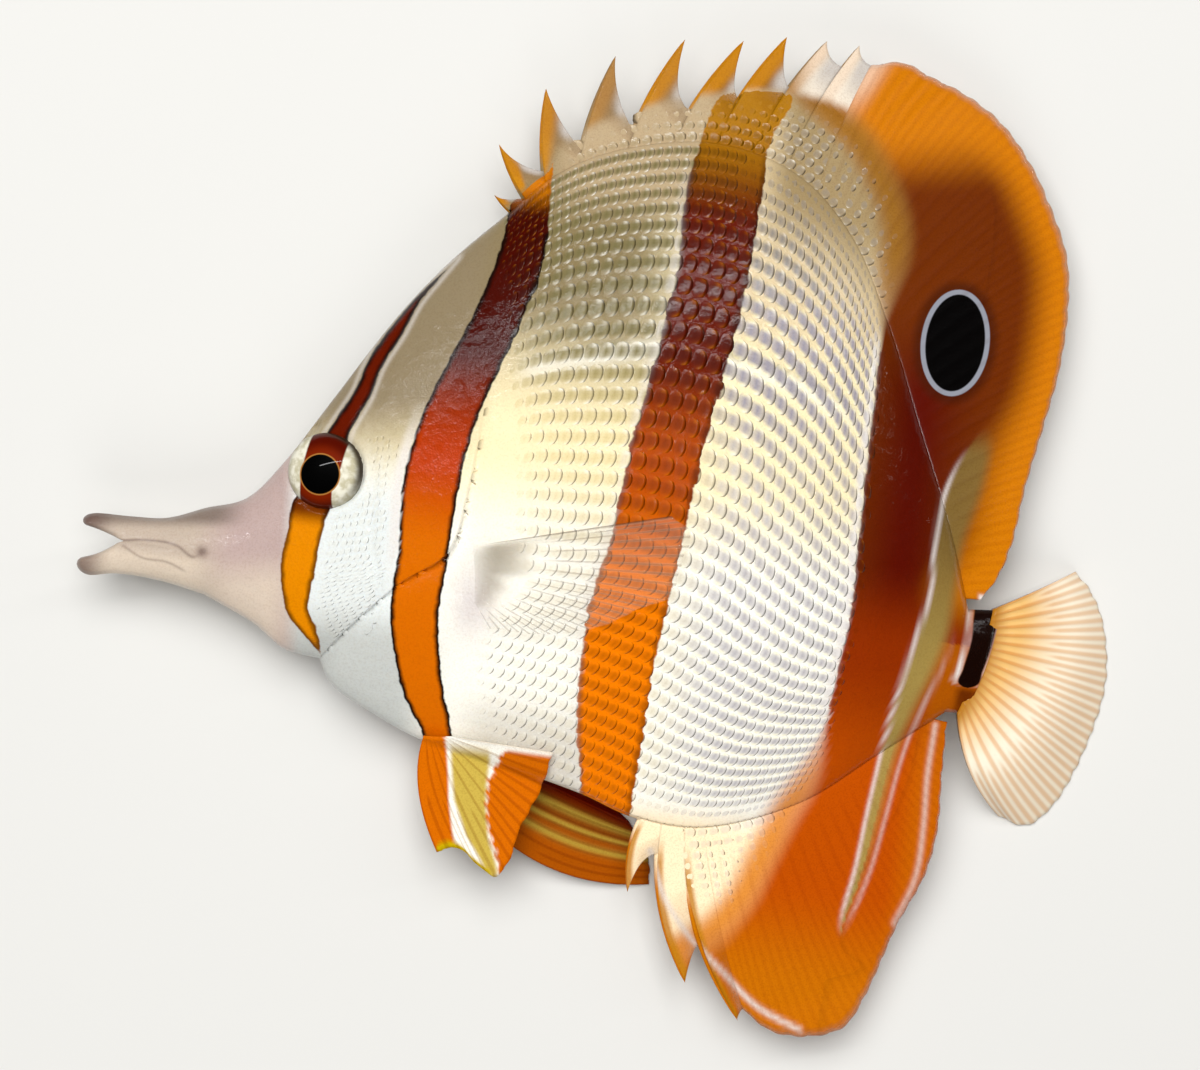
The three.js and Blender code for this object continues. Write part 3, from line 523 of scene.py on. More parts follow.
def fishMaterial(name, look):
    # wet fish skin: a silvery ground, pigment in bands with uneven dark edges, a film of water over both
    made, tree, place = emptyMaterial(name)
    grain = node(tree, "TexNoise", {"Vector": place, "Scale": look["grain"], "Detail": 3.0})["Fac"]
    fine = node(tree, "TexNoise", {"Vector": place, "Scale": look["fine"], "Detail": 2.0})["Fac"]
    read = {key: node(tree, "Attribute", attribute_name=key) for key in ("ground", "band", "marks", "spots")}
    marks, spots = (node(tree, "SeparateXYZ", [read[key]["Vector"]]) for key in ("marks", "spots"))
    wander = node(tree, "Math", [grain, look["wander"], -0.5 * look["wander"]], **timesPlus)[0]
    stripe = node(tree, "Math", [marks[0], wander], operation="ADD")[0]
    inner = node(tree, "MapRange", [stripe, look["rim"], 0.1], **smooth)[0]
    rim = node(tree, "Math", [inner, marks[1]], **times)[0]
    band = node(tree, "Mix", {0: rim, 6: read["band"]["Color"], 7: rgba("black")}, **tinting)[2]
    colour = inked(tree, read["ground"]["Color"], (stripe, -0.08, 0.08, 1, band, tinting))
    colour = node(tree, "Mix", {0: marks[2], 6: colour, 7: rgba("line")}, **tinting)[2]
    # flecks, then the eyespot's halo, ring and centre, and the bar at the tail's root
    colour = inked(
        tree, colour,
        (fine, 0.42, 0.72, look["speck"], "fleck", shading),
        (spots[0], 1.7, 0.6, 0.7, "halo", tinting),
        (spots[0], 0.5, 0.38, 1, "ring", tinting),
        (spots[0], 0.05, -0.08, 1, "spot", tinting),
        (spots[1], -0.05, 0.15, 1, "bar", tinting))
    height = node(tree, "Math", [fine, 0.35, grain], **timesPlus)[0]
    surface = {}
    if look["cells"]:
        # tiny scales under the skin of the head
        cells = node(tree, "TexVoronoi", {"Vector": place, "Scale": look["cells"]}, feature="SMOOTH_F1")["Distance"]
        height = node(tree, "Math", [cells, look["cellRelief"], height], **timesPlus)[0]
    if look["rays"]:
        # fin rays as fine ridges that fork towards the margin, in skin that thins to clear
        ray = node(tree, "SeparateXYZ", [node(tree, "Attribute", attribute_name="ray")["Vector"]])
        turn = node(tree, "Math", [ray[0], 2 * math.pi], **times)[0]
        one = node(tree, "Math", [turn], operation="COSINE")[0]
        two = node(tree, "Math", [one, one], **times)[0]
        fork = node(tree, "MapRange", [ray[1], 0.35, 0.6])[0]
        wave = node(tree, "Mix", {0: fork, 2: one, 3: two}, data_type="FLOAT")[0]
        ridge = node(tree, "MapRange", [wave, look["rayEdge"], 1.0], **smooth)[0]
        start = node(tree, "MapRange", [ray[1], look["rayStart"], look["rayStart"] + 0.15])[0]
        ridge = node(tree, "Math", [ridge, start], **times)[0]
        share, stiff = (node(tree, "Math", [ridge, look[key]], **times)[0] for key in ("rayStrength", "rayAlpha"))
        colour = node(tree, "Mix", {0: share, 6: colour, 7: rgba(look["rayTint"])}, **shading)[2]
        height = node(tree, "Math", [ridge, look["rayRelief"], height], **timesPlus)[0]
        surface["Alpha"] = node(tree, "Math", [ray[2], stiff], operation="MAXIMUM", use_clamp=True)[0]
    bump = node(tree, "Bump", {"Height": height, "Strength": look["bump"], "Distance": look["relief"]})[0]
    if look["coatBump"]:
        surface["Coat Normal"] = bump
    rough = node(tree, "MapRange", [grain, 0.3, 0.75, *look["rough"]])[0]
    shader = node(tree, "BsdfPrincipled", {
        "Base Color": colour, "Roughness": rough, "Normal": bump, "IOR": 1.38, "Specular IOR Level": look["gloss"],
        "Coat Weight": look["film"], "Coat Roughness": look["filmRough"], "Subsurface Weight": look["soft"],
        "Subsurface Radius": (0.0012, 0.0008, 0.0005), "Subsurface Scale": 1.0, **surface,
    })[0]
    node(tree, "OutputMaterial", [shader])
    return made


# soft skin without scales, grown over flesh and wet: small glints, and light that goes a little way in;
# a pattern's scale is the count of its waves in about a metre, so 900 gives waves of about 1.1 mm
skinLook = {
    "grain": 900.0, "fine": 5200.0, "wander": 0.45, "rim": 0.6, "speck": 0.12, "cells": 1150.0, "cellRelief": 0.5,
    "rays": False, "film": 0.6, "filmRough": 0.05, "gloss": 0.1, "soft": 0.1, "rough": (0.35, 0.5),
    "bump": 0.5, "relief": 0.00012, "coatBump": True,
}
# thin bony plates with a comb at their rear edge, grown in rows: flat and hard, so each has its own glint
scaleLook = {**skinLook, "cells": 0.0, "bump": 0.35, "relief": 0.00008, "filmRough": 0.08, "soft": 0.0,
             "rough": (0.28, 0.42), "gloss": 0.15}
# skin grown over fin rays: matt pigment between fine ridges
finLook = {**skinLook, "cells": 0.0, "grain": 1600.0, "fine": 6500.0, "speck": 0.2, "rays": True, "rayEdge": 0.2,
           "rayStart": 0.1, "rayStrength": 0.12, "rayTint": "#b07038", "rayRelief": 0.2, "rayAlpha": 0.0,
           "coatBump": False, "film": 0.3, "filmRough": 0.1, "gloss": 0.08, "soft": 0.0, "bump": 0.4,
           "relief": 0.00008}
# the same in stripes, over stouter rays
pelvicLook = {**finLook, "rayEdge": 0.5, "rayStrength": 0.35, "rayTint": "#a87c18", "rayRelief": 0.5,
              "rayStart": 0.0}
# thin wet skin whose rays show as peach lines
tailLook = {**finLook, "coatBump": True, "speck": 0.0, "rayEdge": -0.2, "rayStrength": 0.5, "rayTint": "#dc9c4c",
            "rayRelief": 0.7, "rayAlpha": 0.5, "film": 0.6, "rayStart": 0.0}
# skin without pigment: hardly seen but for its rays and its wet glints
clearLook = {**tailLook, "rayEdge": 0.6, "rayStrength": 0.9, "rayTint": "#8a7868", "rayRelief": 0.6,
             "rayAlpha": 0.24, "rayStart": 0.28, "filmRough": 0.05}

skinMaterial = fishMaterial("wetFishSkin", skinLook)
scaleMaterial = fishMaterial("ctenoidScales", scaleLook)
finMaterial = fishMaterial("pigmentedFinSkin", finLook)
pelvicMaterial = fishMaterial("stripedFinSkin", pelvicLook)
tailMaterial = fishMaterial("peachFinSkin", tailLook)
clearMaterial = fishMaterial("clearFinSkin", clearLook)


def ringShares(count):
    # shares from belly to back that crowd towards both rims
    return 0.5 - 0.5 * np.cos(np.pi * np.linspace(0, 1, count + 1))


def looped(left, right):
    # closed sections: up the left side, down the right
    return np.concatenate([left, right[:, 1:-1][:, ::-1]], axis=1)


def snoutHalf(share):
    return np.interp(share, snout["station"], snout["halfWidth"]) - 0.5 * body["inset"]


snoutTop, snoutBottom = smoothLine(snout["top"]), smoothLine(snout["bottom"])


def snoutRings(count):
    # from the head's root to the corner of the mouth: sections sin(pi s)^0.5 high between the two outlines
    s = ringShares(count)[None, :]
    t = np.linspace(1, snout["gapeShare"], snout["columns"])[:, None]
    low, high = snoutBottom(t[:, 0])[:, None], snoutTop(t[:, 0])[:, None]
    root = plan(s[0], -1.0)
    curve = root - (root[0] + (root[-1] - root[0]) * s.T)
    middle = low + (high - low) * s[..., None] + curve * ramp(0.7, 1, t)[..., None]
    length = np.linalg.norm(high - low, axis=-1)
    tube = 0.15 + (snoutHalf(t) - 0.15) * np.sin(np.pi * s) ** 0.5
    crease = 0.1 * bell((s - 0.52) * length, 0.25) * (1 - ramp(0.55, 0.95, t))
    half = (tube - crease - body["inset"] * 0.5) * circled(np.minimum(s, 1 - s) * length / body["rim"])
    return looped(raised(middle, half), raised(middle, -half))


def jawRings(outline, lip, isUpper, count, tube):
    # half of the snout's tube runs on to the tip; its flat inner side closes it
    gape = snout["gapeShare"]
    q = 1 - (1 - np.linspace(0, 1, snout["jawColumns"])) ** 1.3
    outer, inner = outline(gape * (1 - q))[:, None], lip(q)[:, None]
    low, high = snoutBottom(gape)[1], snoutTop(gape)[1]
    cut = np.argmin(np.abs(low + (high - low) * ringShares(count) - snout["gape"][1]))
    ids = np.arange(cut, count + 1) if isUpper else np.arange(cut, -1, -1)
    shares = ringShares(count)[ids]
    w = ((shares - shares[0]) / (shares[-1] - shares[0]))[None, :]
    tip = circled((1 - q) / 0.12)[:, None]
    centre = 0.5 * (inner + outer)
    middle = inner * (1 - w[..., None]) + outer * w[..., None]
    middle = centre + (middle - centre) * (0.25 + 0.75 * tip[..., None])
    apart = ramp(0, 0.25, q)[:, None]
    section = np.sin(np.pi * shares)[None, :] ** 0.5 * (1 - apart + apart * (0.35 + 0.65 * circled(w / 0.35)))
    half = (snoutHalf(gape * (1 - q))[:, None] - 0.07) * section * tip
    half = half * circled(np.abs(1 - w) * np.linalg.norm(outer - inner, axis=-1) / body["rim"])
    ease = (1 - ramp(0, 0.15, q))[:, None, None]
    left, right = raised(middle, half), raised(middle, -half)
    left = left + (tube[-1][ids] - left[0]) * ease
    right = right + (tube[-1][-ids] - right[0]) * ease
    across = np.linspace(1, -1, 9)[1:-1][None, :, None]
    inside = 0.5 * (left[:, :1] + right[:, :1]) + 0.5 * (left[:, :1] - right[:, :1]) * across
    return np.concatenate([left[:, ::-1], inside, right[:, :-1]], axis=1)


def capRing(ring):
    # closes an end: the left half is joined straight across to the right half
    ids, w = np.arange(len(ring) // 2 + 1), np.linspace(0, 1, 7)[None, :, None]
    return ring[ids][:, None] * (1 - w) + ring[-ids][:, None] * w


def gridPart(points, closed, flip=False):
    quads = gridQuads(points.shape[0], points.shape[1], closed)
    flat = points.reshape(-1, 3)
    return flat, quads[:, ::-1] if flip else quads, markings(flat[:, 0], flat[:, 1])


def buildSkin(count=130):
    # the flanks from the snout's root to the tail's end, the snout's tube, two jaws with their tips, and a cap
    alongs = np.concatenate([np.linspace(-1, -0.012, 90), [-0.004, 0.0, 0.004, 0.009, 0.015],
                             np.linspace(0.022, 1, 84), np.linspace(1.2, 2, 5)])
    grid = np.meshgrid(ringShares(count), alongs)
    rings = looped(onSkin(*grid, 1), onSkin(*grid, -1))
    tube = snoutRings(count)
    tube[:10] += (rings[0] - tube[0]) * np.linspace(1, 0, 10)[:, None, None]
    tube[0] = rings[0]
    parts = [gridPart(rings, True), gridPart(tube, True, True), gridPart(capRing(rings[-1]), False)]
    for outline, lip, isUpper in ((snoutTop, "upperLip", True), (snoutBottom, "lowerLip", False)):
        jaw = jawRings(outline, smoothLine(snout[lip]), isUpper, count, tube)
        tip = np.repeat(jaw[-1].mean(0)[None] + [[-0.03, 0, 0]], len(jaw[-1]), axis=0)
        parts += [gridPart(jaw, True, not isUpper), gridPart(np.stack([jaw[-1], tip]), True, not isUpper)]
    makePiece("skin", weld(parts), skinMaterial, "skin", "head", "torso", "tail_root", "upper_jaw", "lower_jaw")


buildSkin()


scales = {
    "share": [0, 0.3, 0.5, 0.75, 0.9, 1], "pitch": [1.3, 1.6, 1.9, 2.15, 1.5, 1.2],  # mm between rows, belly to back
    "height": 62.0,  # of the flank where these hold
    "lift": 0.027, "sink": -0.05, "overlap": 1.5,
    "cheek": 0.8,
    "finRow": 1.2, "finLift": 0.012,
}
plateLoop = np.array([0.0, 0.42, 0.62, 0.84, 1.0, 0.97, 0.4])  # shares from the root to the free edge and back below
plateLevel = np.array([0.0, 0.88, 0.96, 1.0, 0.86, 0.6, -0.1])  # heights, from sunk to fully lifted


def shadeScale(values, pocket, paintedGlint, spotted, x, y, depth):
    # pockets tinted and darkened with painted shade: olive above, yellow in the middle of the flank, lilac-grey with
    # butter spots behind; painted glints in white over them
    tint = layered("pocketLow", ("pocketHigh", ramp(6, 17, y)),
                   ("pocketRear", ramp(5, 11, x) * (1 - 0.5 * ramp(18, 26, y))))
    strength = 0.5 + 0.5 * ramp(4, 16, y) + 0.3 * ramp(6, 14, x)
    strength = depth * strength * (0.35 + 0.65 * ramp(-14, 2, np.maximum(y, x - 8)))
    bare = 1 - values["spots"][:, 2]
    values["ground"] = layered(
        values["ground"], (tint, pocket * strength * bare),
        ("butter", 0.6 * spotted * bare * ramp(4, 10, x) * ramp(26, 20, y)), ("white", 0.85 * paintedGlint * bare))
    # the bands take painted shade in the pockets and gold painted glints
    values["band"] = layered(values["band"], (values["band"] * 0.45, 0.75 * pocket), ("gold", 0.4 * paintedGlint))


def scalePlates(chart, s, a, side, width, length, lift, tone, depth, seed):
    # each plate is a closed lens: 7 loops across, of 7 points each, sunk at its root and free at its rear;
    # chart(s, a, lift) places a point on a surface
    rng = np.random.default_rng(seed)
    one, h, sink = (len(s), 1, 1), 2e-3, scales["sink"]

    def each(v):
        return v[:, None, None]

    def pace(ds, da):
        # mm over the surface for each unit of s or a
        step = chart(s + ds, a + da, 0 * s) - chart(s - ds, a - da, 0 * s)
        return each(np.maximum(np.linalg.norm(step[..., :2], axis=-1), 1e-6) / (2 * h))

    u = np.linspace(-1, 1, 7)[None, :, None]
    inner = np.abs(u) < 0.99
    ends = np.sqrt(unit(1 - 0.96 * u**2))
    x = np.where(inner, 0.4 * (1 - ends) + (0.5 + 0.5 * ends - 0.4 * (1 - ends)) * plateLoop, 0.5)
    ss = each(s) + 0.5 * each(width) * u / pace(h, 0)
    aa = each(a) + each(length) * (1 + 0.05 * rng.standard_normal(one)) * (x - 0.6) / pace(0, h)
    up = sink + (each(lift) - sink) * plateLevel * (1 - 0.3 * u**2)
    up = up + 0.25 * each(lift) * rng.standard_normal(one) * u  # each scale leans a little
    p = chart(ss, aa, np.where(inner, up, sink * 0.4))
    # markings are read part way towards the plate's middle, so that band edges follow the scales
    mx, my = (0.7 * p + 0.3 * each(chart(s, a, 0 * s)))[..., :2].reshape(-1, 2).T
    values = markings(mx, my)
    # a dark pocket of tint and painted shade runs through the middle of each row, and painted glints sit as bright
    # spots between two rows
    pocket = ramp(0.8, 0.2, np.abs(u)) * (0.55 + 0.45 * bell(x - 0.64, 0.18)) * each(tone)
    paintedGlint = bell(np.abs(u) - 0.75, 0.25) * bell(x - 0.82, 0.16) * each(tone) * (0.3 + 0.7 * rng.random(one))
    spotted = ramp(0.45, 0.8, np.abs(u)) * bell(x - 0.6, 0.16) * each(tone)
    shadeScale(values, pocket.ravel(), paintedGlint.ravel(), spotted.ravel(), mx, my, depth)
    # a patch of 0.003 for each plate, at its root's place on the unrolled skin
    spread = lambda v: (v - v.min()) / max(float(np.ptp(v)), 1e-6)
    cu, cv = 0.02 + 0.96 * spread(a), (0.26 if side > 0 else 0.74) + 0.22 * (2 * spread(s) - 1)
    uv = np.stack(np.broadcast_arrays(each(cu) + 0.0015 * (2 * x - 1), each(cv) + 0.0015 * u), axis=-1)
    values["OFBake"] = uv.reshape(-1, 2)
    quads = gridQuads(7, 7, True)[:, :: side] + 49 * np.arange(len(s))[:, None, None]
    return p.reshape(-1, 3), quads.reshape(-1, 4), values


def flankRows():
    # rows along lines of equal s; along a row the count of scales is the length over the scale's exposed part
    out = []
    t, fine = np.linspace(0, 1, 400), np.linspace(0, 1, 2000)
    pitch = np.interp(fine, scales["share"], scales["pitch"]) / scales["height"]
    count = np.concatenate([[0], np.cumsum(np.diff(fine) / pitch[1:])])
    tall = heightAt(t)
    for k, s in enumerate(np.interp(np.arange(0.5, count[-1]), count, fine)):
        run = np.linalg.norm(np.diff(plan(np.full_like(t, s), t), axis=0), axis=1)
        height = np.interp(s, fine, pitch) * tall
        size = np.clip(0.7 * height, 0.6, 1.5)
        total = np.concatenate([[0], np.cumsum(run / (0.5 * (size[1:] + size[:-1])))])
        at = np.arange(0.35 + 0.5 * (k % 2), total[-1], 1.0)
        a = np.interp(at, total, t)
        out.append(np.stack([np.full_like(a, s), a, np.interp(a, t, height), np.interp(a, t, size)], axis=1))
    return np.vstack(out)


def headScatter(seed):
    # small scales of the cheek and the gill cover on a staggered grid, shaken a little
    rng = np.random.default_rng(seed)
    out = []
    for k, a in enumerate(np.arange(-0.62, -0.02, 0.029)):
        step = scales["cheek"] / heightAt(a)
        s = np.arange(0.06 + 0.5 * (k % 2) * step, 0.75, step)
        out.append(np.stack([s, np.full_like(s, a)], axis=1))
    q = np.vstack(out)
    q = q + rng.standard_normal(q.shape) * [0.0025, 0.004]
    x, y = plan(q[:, 0], q[:, 1]).T
    far = np.hypot(x - eye["place"][0], y - eye["place"][1])
    clearOf = (bandMeasure("gill", x, y)[0] < -1.4) & (bandMeasure("eyeLow", x, y)[0] < -0.6)
    return q[(far > 4.5) & clearOf & (x > -27) & (x < -18.5) & (y < 4) & (q[:, 1] < -0.03)]


# what the back and belly fins stand on; the soft part starts at shares of that line; the scaled reach is pairs
# of a share of the line and mm out from it; then the spines' bow and the side the line's left lies on
finBase = {
    "dorsal": {
        "line": "back", "edge": "backEdge", "soft": (0.4, 0.46), "bow": 0.05, "side": 1, "uvStart": 0.5,
        "reach": [(0.075, 0.2), (0.109, 2.0), (0.175, 2.6), (0.234, 3.4), (0.29, 4.2), (0.34, 5.6), (0.391, 7),
                  (0.444, 8), (0.6, 9), (0.8, 7.5), (0.93, 3.5), (0.98, 1)]},
    "anal": {
        "line": "belly", "edge": "bellyEdge", "soft": (0.58, 0.63), "bow": 0.09, "side": -1, "uvStart": 0.0,
        "reach": [(0.53, 0.2), (0.575, 0.4), (0.595, 6), (0.63, 10), (0.7, 11), (0.8, 9), (0.9, 5), (0.97, 1.5)]},
}


def offLine(read, share, distance):
    # a point of a line moved to the left of its direction
    ahead = read(unit(share + 0.004)) - read(unit(share - 0.004))
    ahead = ahead / np.linalg.norm(ahead, axis=-1, keepdims=True)
    return read(share) + np.stack([-ahead[..., 1], ahead[..., 0]], axis=-1) * distance


def finLevel(kind, x, y):
    # height of a fin's middle and its half thickness, by the distance out from the body's edge
    base = finBase[kind]
    away, share = lineDistance(x, y, body[base["line"]])
    edge = np.interp(share, body["station"], body[base["edge"]]) - body["inset"]
    middle = -0.7 * np.clip(away / 15, 0, 1.2) ** 2 * ramp(*base["soft"], share)
    return middle, 0.13 + (edge - 0.13) * (1 - unit(away / 14)) ** 1.8


def finChart(kind, side):
    # over a fin's base: the first number is the distance out in mm, the second the share of the root line
    root, outwards = lines[finBase[kind]["line"]], finBase[kind]["side"]

    def place(d, b, lift):
        p = offLine(root, np.clip(b, 0.003, 0.997), (outwards * d)[..., None])
        middle, half = finLevel(kind, p[..., 0], p[..., 1])
        return raised(p, middle + side * (half + lift))

    return place


def finRows(kind):
    # rows at growing distances from the root line; scales shrink outwards
    reach = np.array(finBase[kind]["reach"])
    out, d, k = [], 0.3, 0
    b = np.linspace(reach[0, 0], reach[-1, 0], 600)
    steps = np.linalg.norm(np.diff(lines[finBase[kind]["line"]](b), axis=0), axis=1)
    run = np.concatenate([[0], np.cumsum(steps)])
    limit = np.interp(b, *reach.T)
    while d < limit.max():
        row = scales["finRow"] * (1 - 0.045 * d)
        size = max(0.9 * row, 0.55)
        share = np.interp(np.arange(0.5 * (k % 2) * size, run[-1], size), run, b)
        room = np.interp(share, b, limit) - d
        out += [(d, at, row, size, left) for at, left in zip(share, room) if left > 0]
        d, k = d + row * 0.95, k + 1
    return np.array(out)


def buildScales(name, side):
    rows = flankRows()
    hx, hy = body["hollow"][:2]
    x, y = plan(rows[:, 0], rows[:, 1]).T
    rows = rows[np.hypot((x - hx - 1.4) / 2.6, (y - hy) / 3.4) > 1]
    s, a, width, length = rows.T
    x, y = plan(s, a).T
    # smooth behind the gill opening and on the breast, and velvety in the rear band
    tone = ramp(0.03, 0.22, a + 0.25 * s - 0.1) * (0.4 + 0.6 * ramp(0.1, 0.34, s + 0.5 * a))
    tone = tone * (1 - 0.7 * ramp(-0.5, 1, bandMeasure("rearEdge", x, y)[0])) * (1 - 0.6 * ramp(0.82, 1, s) * (x > 8))
    tone = tone * (1 - 0.7 * ramp(0.1, 0, s) * (x > 6))
    chart = lambda s, a, lift: onSkin(np.clip(s, 0.004, 0.996), np.clip(a, -0.96, 1.0), side, lift, 1.0)
    flank = scalePlates(chart, s, a, side, width * 1.12, length * scales["overlap"],
                        scales["lift"] * tone - 0.015 * (1 - tone), tone, 1.0, 11)
    s, a = headScatter(5).T
    size = np.full(len(s), scales["cheek"])
    cheek = scalePlates(chart, s, a, side, size * 1.15, size * 1.35, 0.35 * scales["lift"] + 0 * size,
                        0.3 + 0 * size, 1.0, 7)
    makePiece(name, joined([flank, cheek]), scaleMaterial, "skin")


def buildFinScales(name, side):
    parts = []
    for kind, seed in (("dorsal", 21), ("anal", 22)):
        base, chart = finBase[kind], finChart(kind, side)
        rows = finRows(kind)
        x, y, _ = chart(rows[:, 0], rows[:, 1], 0 * rows[:, 0]).T
        rear = bandMeasure("rearEdge", x, y)[0]
        keep = (rear < 0.4) & (rows[:, 4] > 0.45)
        d, b, width, length, room = rows[keep].T
        tone = ramp(0, 3.5, room) * (1 - 0.75 * ramp(-2, 1, rear[keep]))
        part = scalePlates(chart, d, b, side * base["side"], width * 1.12, length * scales["overlap"],
                           scales["finLift"] * (0.1 + 0.9 * tone), 0.8 * tone, 0.5, seed)
        uv = part[2]["OFBake"]
        uv[:, 1] = 0.5 * uv[:, 1] + base["uvStart"]
        parts.append(part)
    makePiece(name, joined(parts), scaleMaterial, "fin_brown")


for side, word in ((1, "left"), (-1, "right")):
    buildScales("scales_" + word, side)
    buildFinScales("fin_scales_" + word, side)


fins = {
    # share of the root line, tip, width, share under the skin in front, dip of the skin behind, the golden share
    # of that skin, the spine's colour; the last one only marks where the soft part starts
    "dorsal": [
        (0.012, (-14.7, 28.3), 0.7, 0.3, (-13.9, 27.7), 3, "golden"),
        (0.032, (-14.9, 33.1), 0.8, 0.15, (-13.2, 31.2), 2.5, "golden"),
        (0.06, (-11.2, 38.9), 1.0, 0.2, (-9.9, 36.1), 0.9, "golden"),
        (0.109, (-5.1, 42.8), 1.2, 0.18, (-5, 39.1), 0.4, "horn"),
        (0.175, (1.2, 45.2), 1.3, 0.2, (0.3, 39.8), 0.9, "golden"),
        (0.234, (6.7, 45.8), 1.3, 0.33, (5.8, 41.2), 1.1, "golden"),
        (0.29, (10.7, 46.7), 1.2, 0.42, (10.4, 43.3), 1.2, "golden"),
        (0.34, (14.5, 46.8), 1.2, 0.58, (14.6, 45.1), 0.35, "horn"),
        (0.391, (17.6, 46.8), 1.1, 0.82, (17.7, 45.4), 0.25, "horn"),
        (0.444, (18.9, 45.1), 0, 1.0, (18.9, 45.1), 0, "horn")],
    "anal": [
        (0.527, (6.3, -35.2), 0.9, 0.2, (6.9, -31.6), 0.9, "amber"),
        (0.554, (12.8, -43), 1.2, 0.22, (13, -39.7), 0.9, "amber"),
        (0.588, (18.2, -45.9), 1.2, 0.6, (18.3, -45.1), 0.9, "amber"),
        (0.618, (18.6, -44.9), 0, 1.0, (18.6, -44.9), 0, "amber")],
    "spineSteps": 22,
    "tailMargin": [(45.2, 0.3), (46.8, -1.2), (48.4, -4), (49.5, -9.4), (48.6, -15.6), (46, -22.3), (43.6, -24.6),
                   (40.9, -24)],
    "tailTints": ("#a86c18", "#e6b870", "#fff4dc"),  # root, middle, margin
    "pectoralRoot": [(-12.2, -4.7), (-11.7, -7.3), (-11.4, -9.9)],
    "pectoralMargin": [(5.6, 0.4), (7.6, -0.9), (7.2, -3.6), (6.4, -7), (3.9, -8.4), (0.4, -10.6), (-5, -12),
                       (-9.6, -12.1)],
    "pectoralFold": (-1.0, 0.45),  # of the right one, under the fish: turned, and closed to a share
    "pectoralTints": ("#9c8f78", "#7c6856"),  # root, leading ray
    "pelvicRoot": [(-14.6, -23), (-13.4, -22.9), (-12, -22.7)],
    "leftPelvic": [(-12, -33.8), (-10, -33.2), (-8.2, -34.4), (-6.2, -35.4), (-5, -33.4), (-4.6, -31), (-3, -26.6),
                   (-2.3, -22.9)],
    "rightPelvic": [(8.4, -34.9), (8.2, -33), (6.9, -30.6), (5, -28.6), (1, -26.8)],
    # x at these y: the leading strip's rear edge, the yellow wedge and its half width, the rear panel's edge
    "y": [-34.7, -33, -31.9, -30.4, -28.7, -26.6, -24.5, -23],
    "lead": [-9.9, -10.4, -10.8, -11.2, -11.6, -11.9, -12.3, -12.6],
    "middle": [-6.7, -7.7, -8.4, -8.9, -9.5, -9.8, -10, -10.2],
    "wide": [0.75, 1.0, 1.2, 1.4, 1.65, 1.8, 2, 2],
    "panel": [-6, -6.6, -7.1, -7.7, -8, -8.1, -7.4, -6.8],
    "innerTints": ("#a04c02", "#7c3c06", "#6a1c00", "#a88c34", "#7a5c24"),  # front to rear, stripes, far corner
}


def sheetPart(middle, half, ray):
    # a sheet with its two sides and its rim: middle (n, m, 3), half thickness along z
    top, bottom = middle + half[..., None] * [0, 0, 1], middle - half[..., None] * [0, 0, 1]
    bottom[..., 2] = np.maximum(bottom[..., 2], 0.03 - body["midHeight"])
    top[..., 2] = np.maximum(top[..., 2], bottom[..., 2] + 0.12)
    n, m = half.shape
    a, b = middle[1:, :-1] - middle[:-1, :-1], middle[:-1, 1:] - middle[:-1, :-1]
    turn = 1 if np.sum(a[..., 0] * b[..., 1] - a[..., 1] * b[..., 0]) > 0 else -1
    quads = gridQuads(n, m)[:, ::turn]
    ids = np.arange(n * m).reshape(n, m)
    rim = np.concatenate([ids[:, 0], ids[-1, 1:], ids[:-1, -1][::-1], ids[0, 1:-1][::-1]])
    ahead = np.roll(rim, -1)
    wall = np.stack([rim, rim + n * m, ahead + n * m, ahead], axis=1)[:, ::turn]
    points = np.concatenate([top.reshape(-1, 3), bottom.reshape(-1, 3)])
    values = markings(points[:, 0], points[:, 1])
    values["ray"] = np.concatenate([ray.reshape(-1, 3)] * 2)
    return points, np.vstack([quads, quads[:, ::-1] + n * m, wall]), values


def finSheet(root, margin, rays, look):
    # each ray runs straight from the root line to the margin, bowed and sagging by v(1-v) and v squared;
    # the sheet is thicker on a ray, and its margin is nicked between two rays
    look = {"perRay": 8, "seed": 1, "ridge": 0.08, "bow": 0, **look}
    u = np.linspace(0, 1, rays * look["perRay"] + 1)[:, None]
    v = np.linspace(0, 1, look["rows"] + 1)[None, :] ** 0.9
    wave = np.cos(2 * np.pi * u * rays)
    forked = 0.5 + 0.5 * np.cos(4 * np.pi * u * rays)
    start, end = root(u[:, 0])[:, None], margin(u[:, 0])[:, None]
    length = np.linalg.norm(end - start, axis=-1)
    rng = np.random.default_rng(look["seed"])
    nick = 0.12 * (0.5 - 0.5 * wave) * (0.6 + 0.8 * rng.random(u.shape))
    place = start + (end - start) * (v * (1 - np.minimum(nick / np.maximum(length, 1), 0.3)))[..., None]
    arch = (4 * v * (1 - v))[..., None]
    place = place + (end - start)[..., ::-1] * [1, -1] * look["bow"] * arch
    if "swing" in look:
        place = place + look["swing"](u)[:, None] * arch
    vv = v + 0 * u
    if "kind" in look:
        z, web = finLevel(look["kind"], place[..., 0], place[..., 1])
    else:
        z = look["height"](place, vv)
        web = look["edge"] + (look["root"] - look["edge"]) * (1 - v) ** 1.6
    rayShape = np.where(v > 0.5, (0.5 + 0.5 * wave) * 0.5 + forked * 0.5, 0.5 + 0.5 * wave)
    half = web + look["ridge"] * rayShape * np.minimum(1, 5 * v) * (1 - 0.7 * v)
    return sheetPart(raised(place, z), half, np.stack([u * rays + 0 * v, vv, look["cover"](place, vv)], axis=-1))


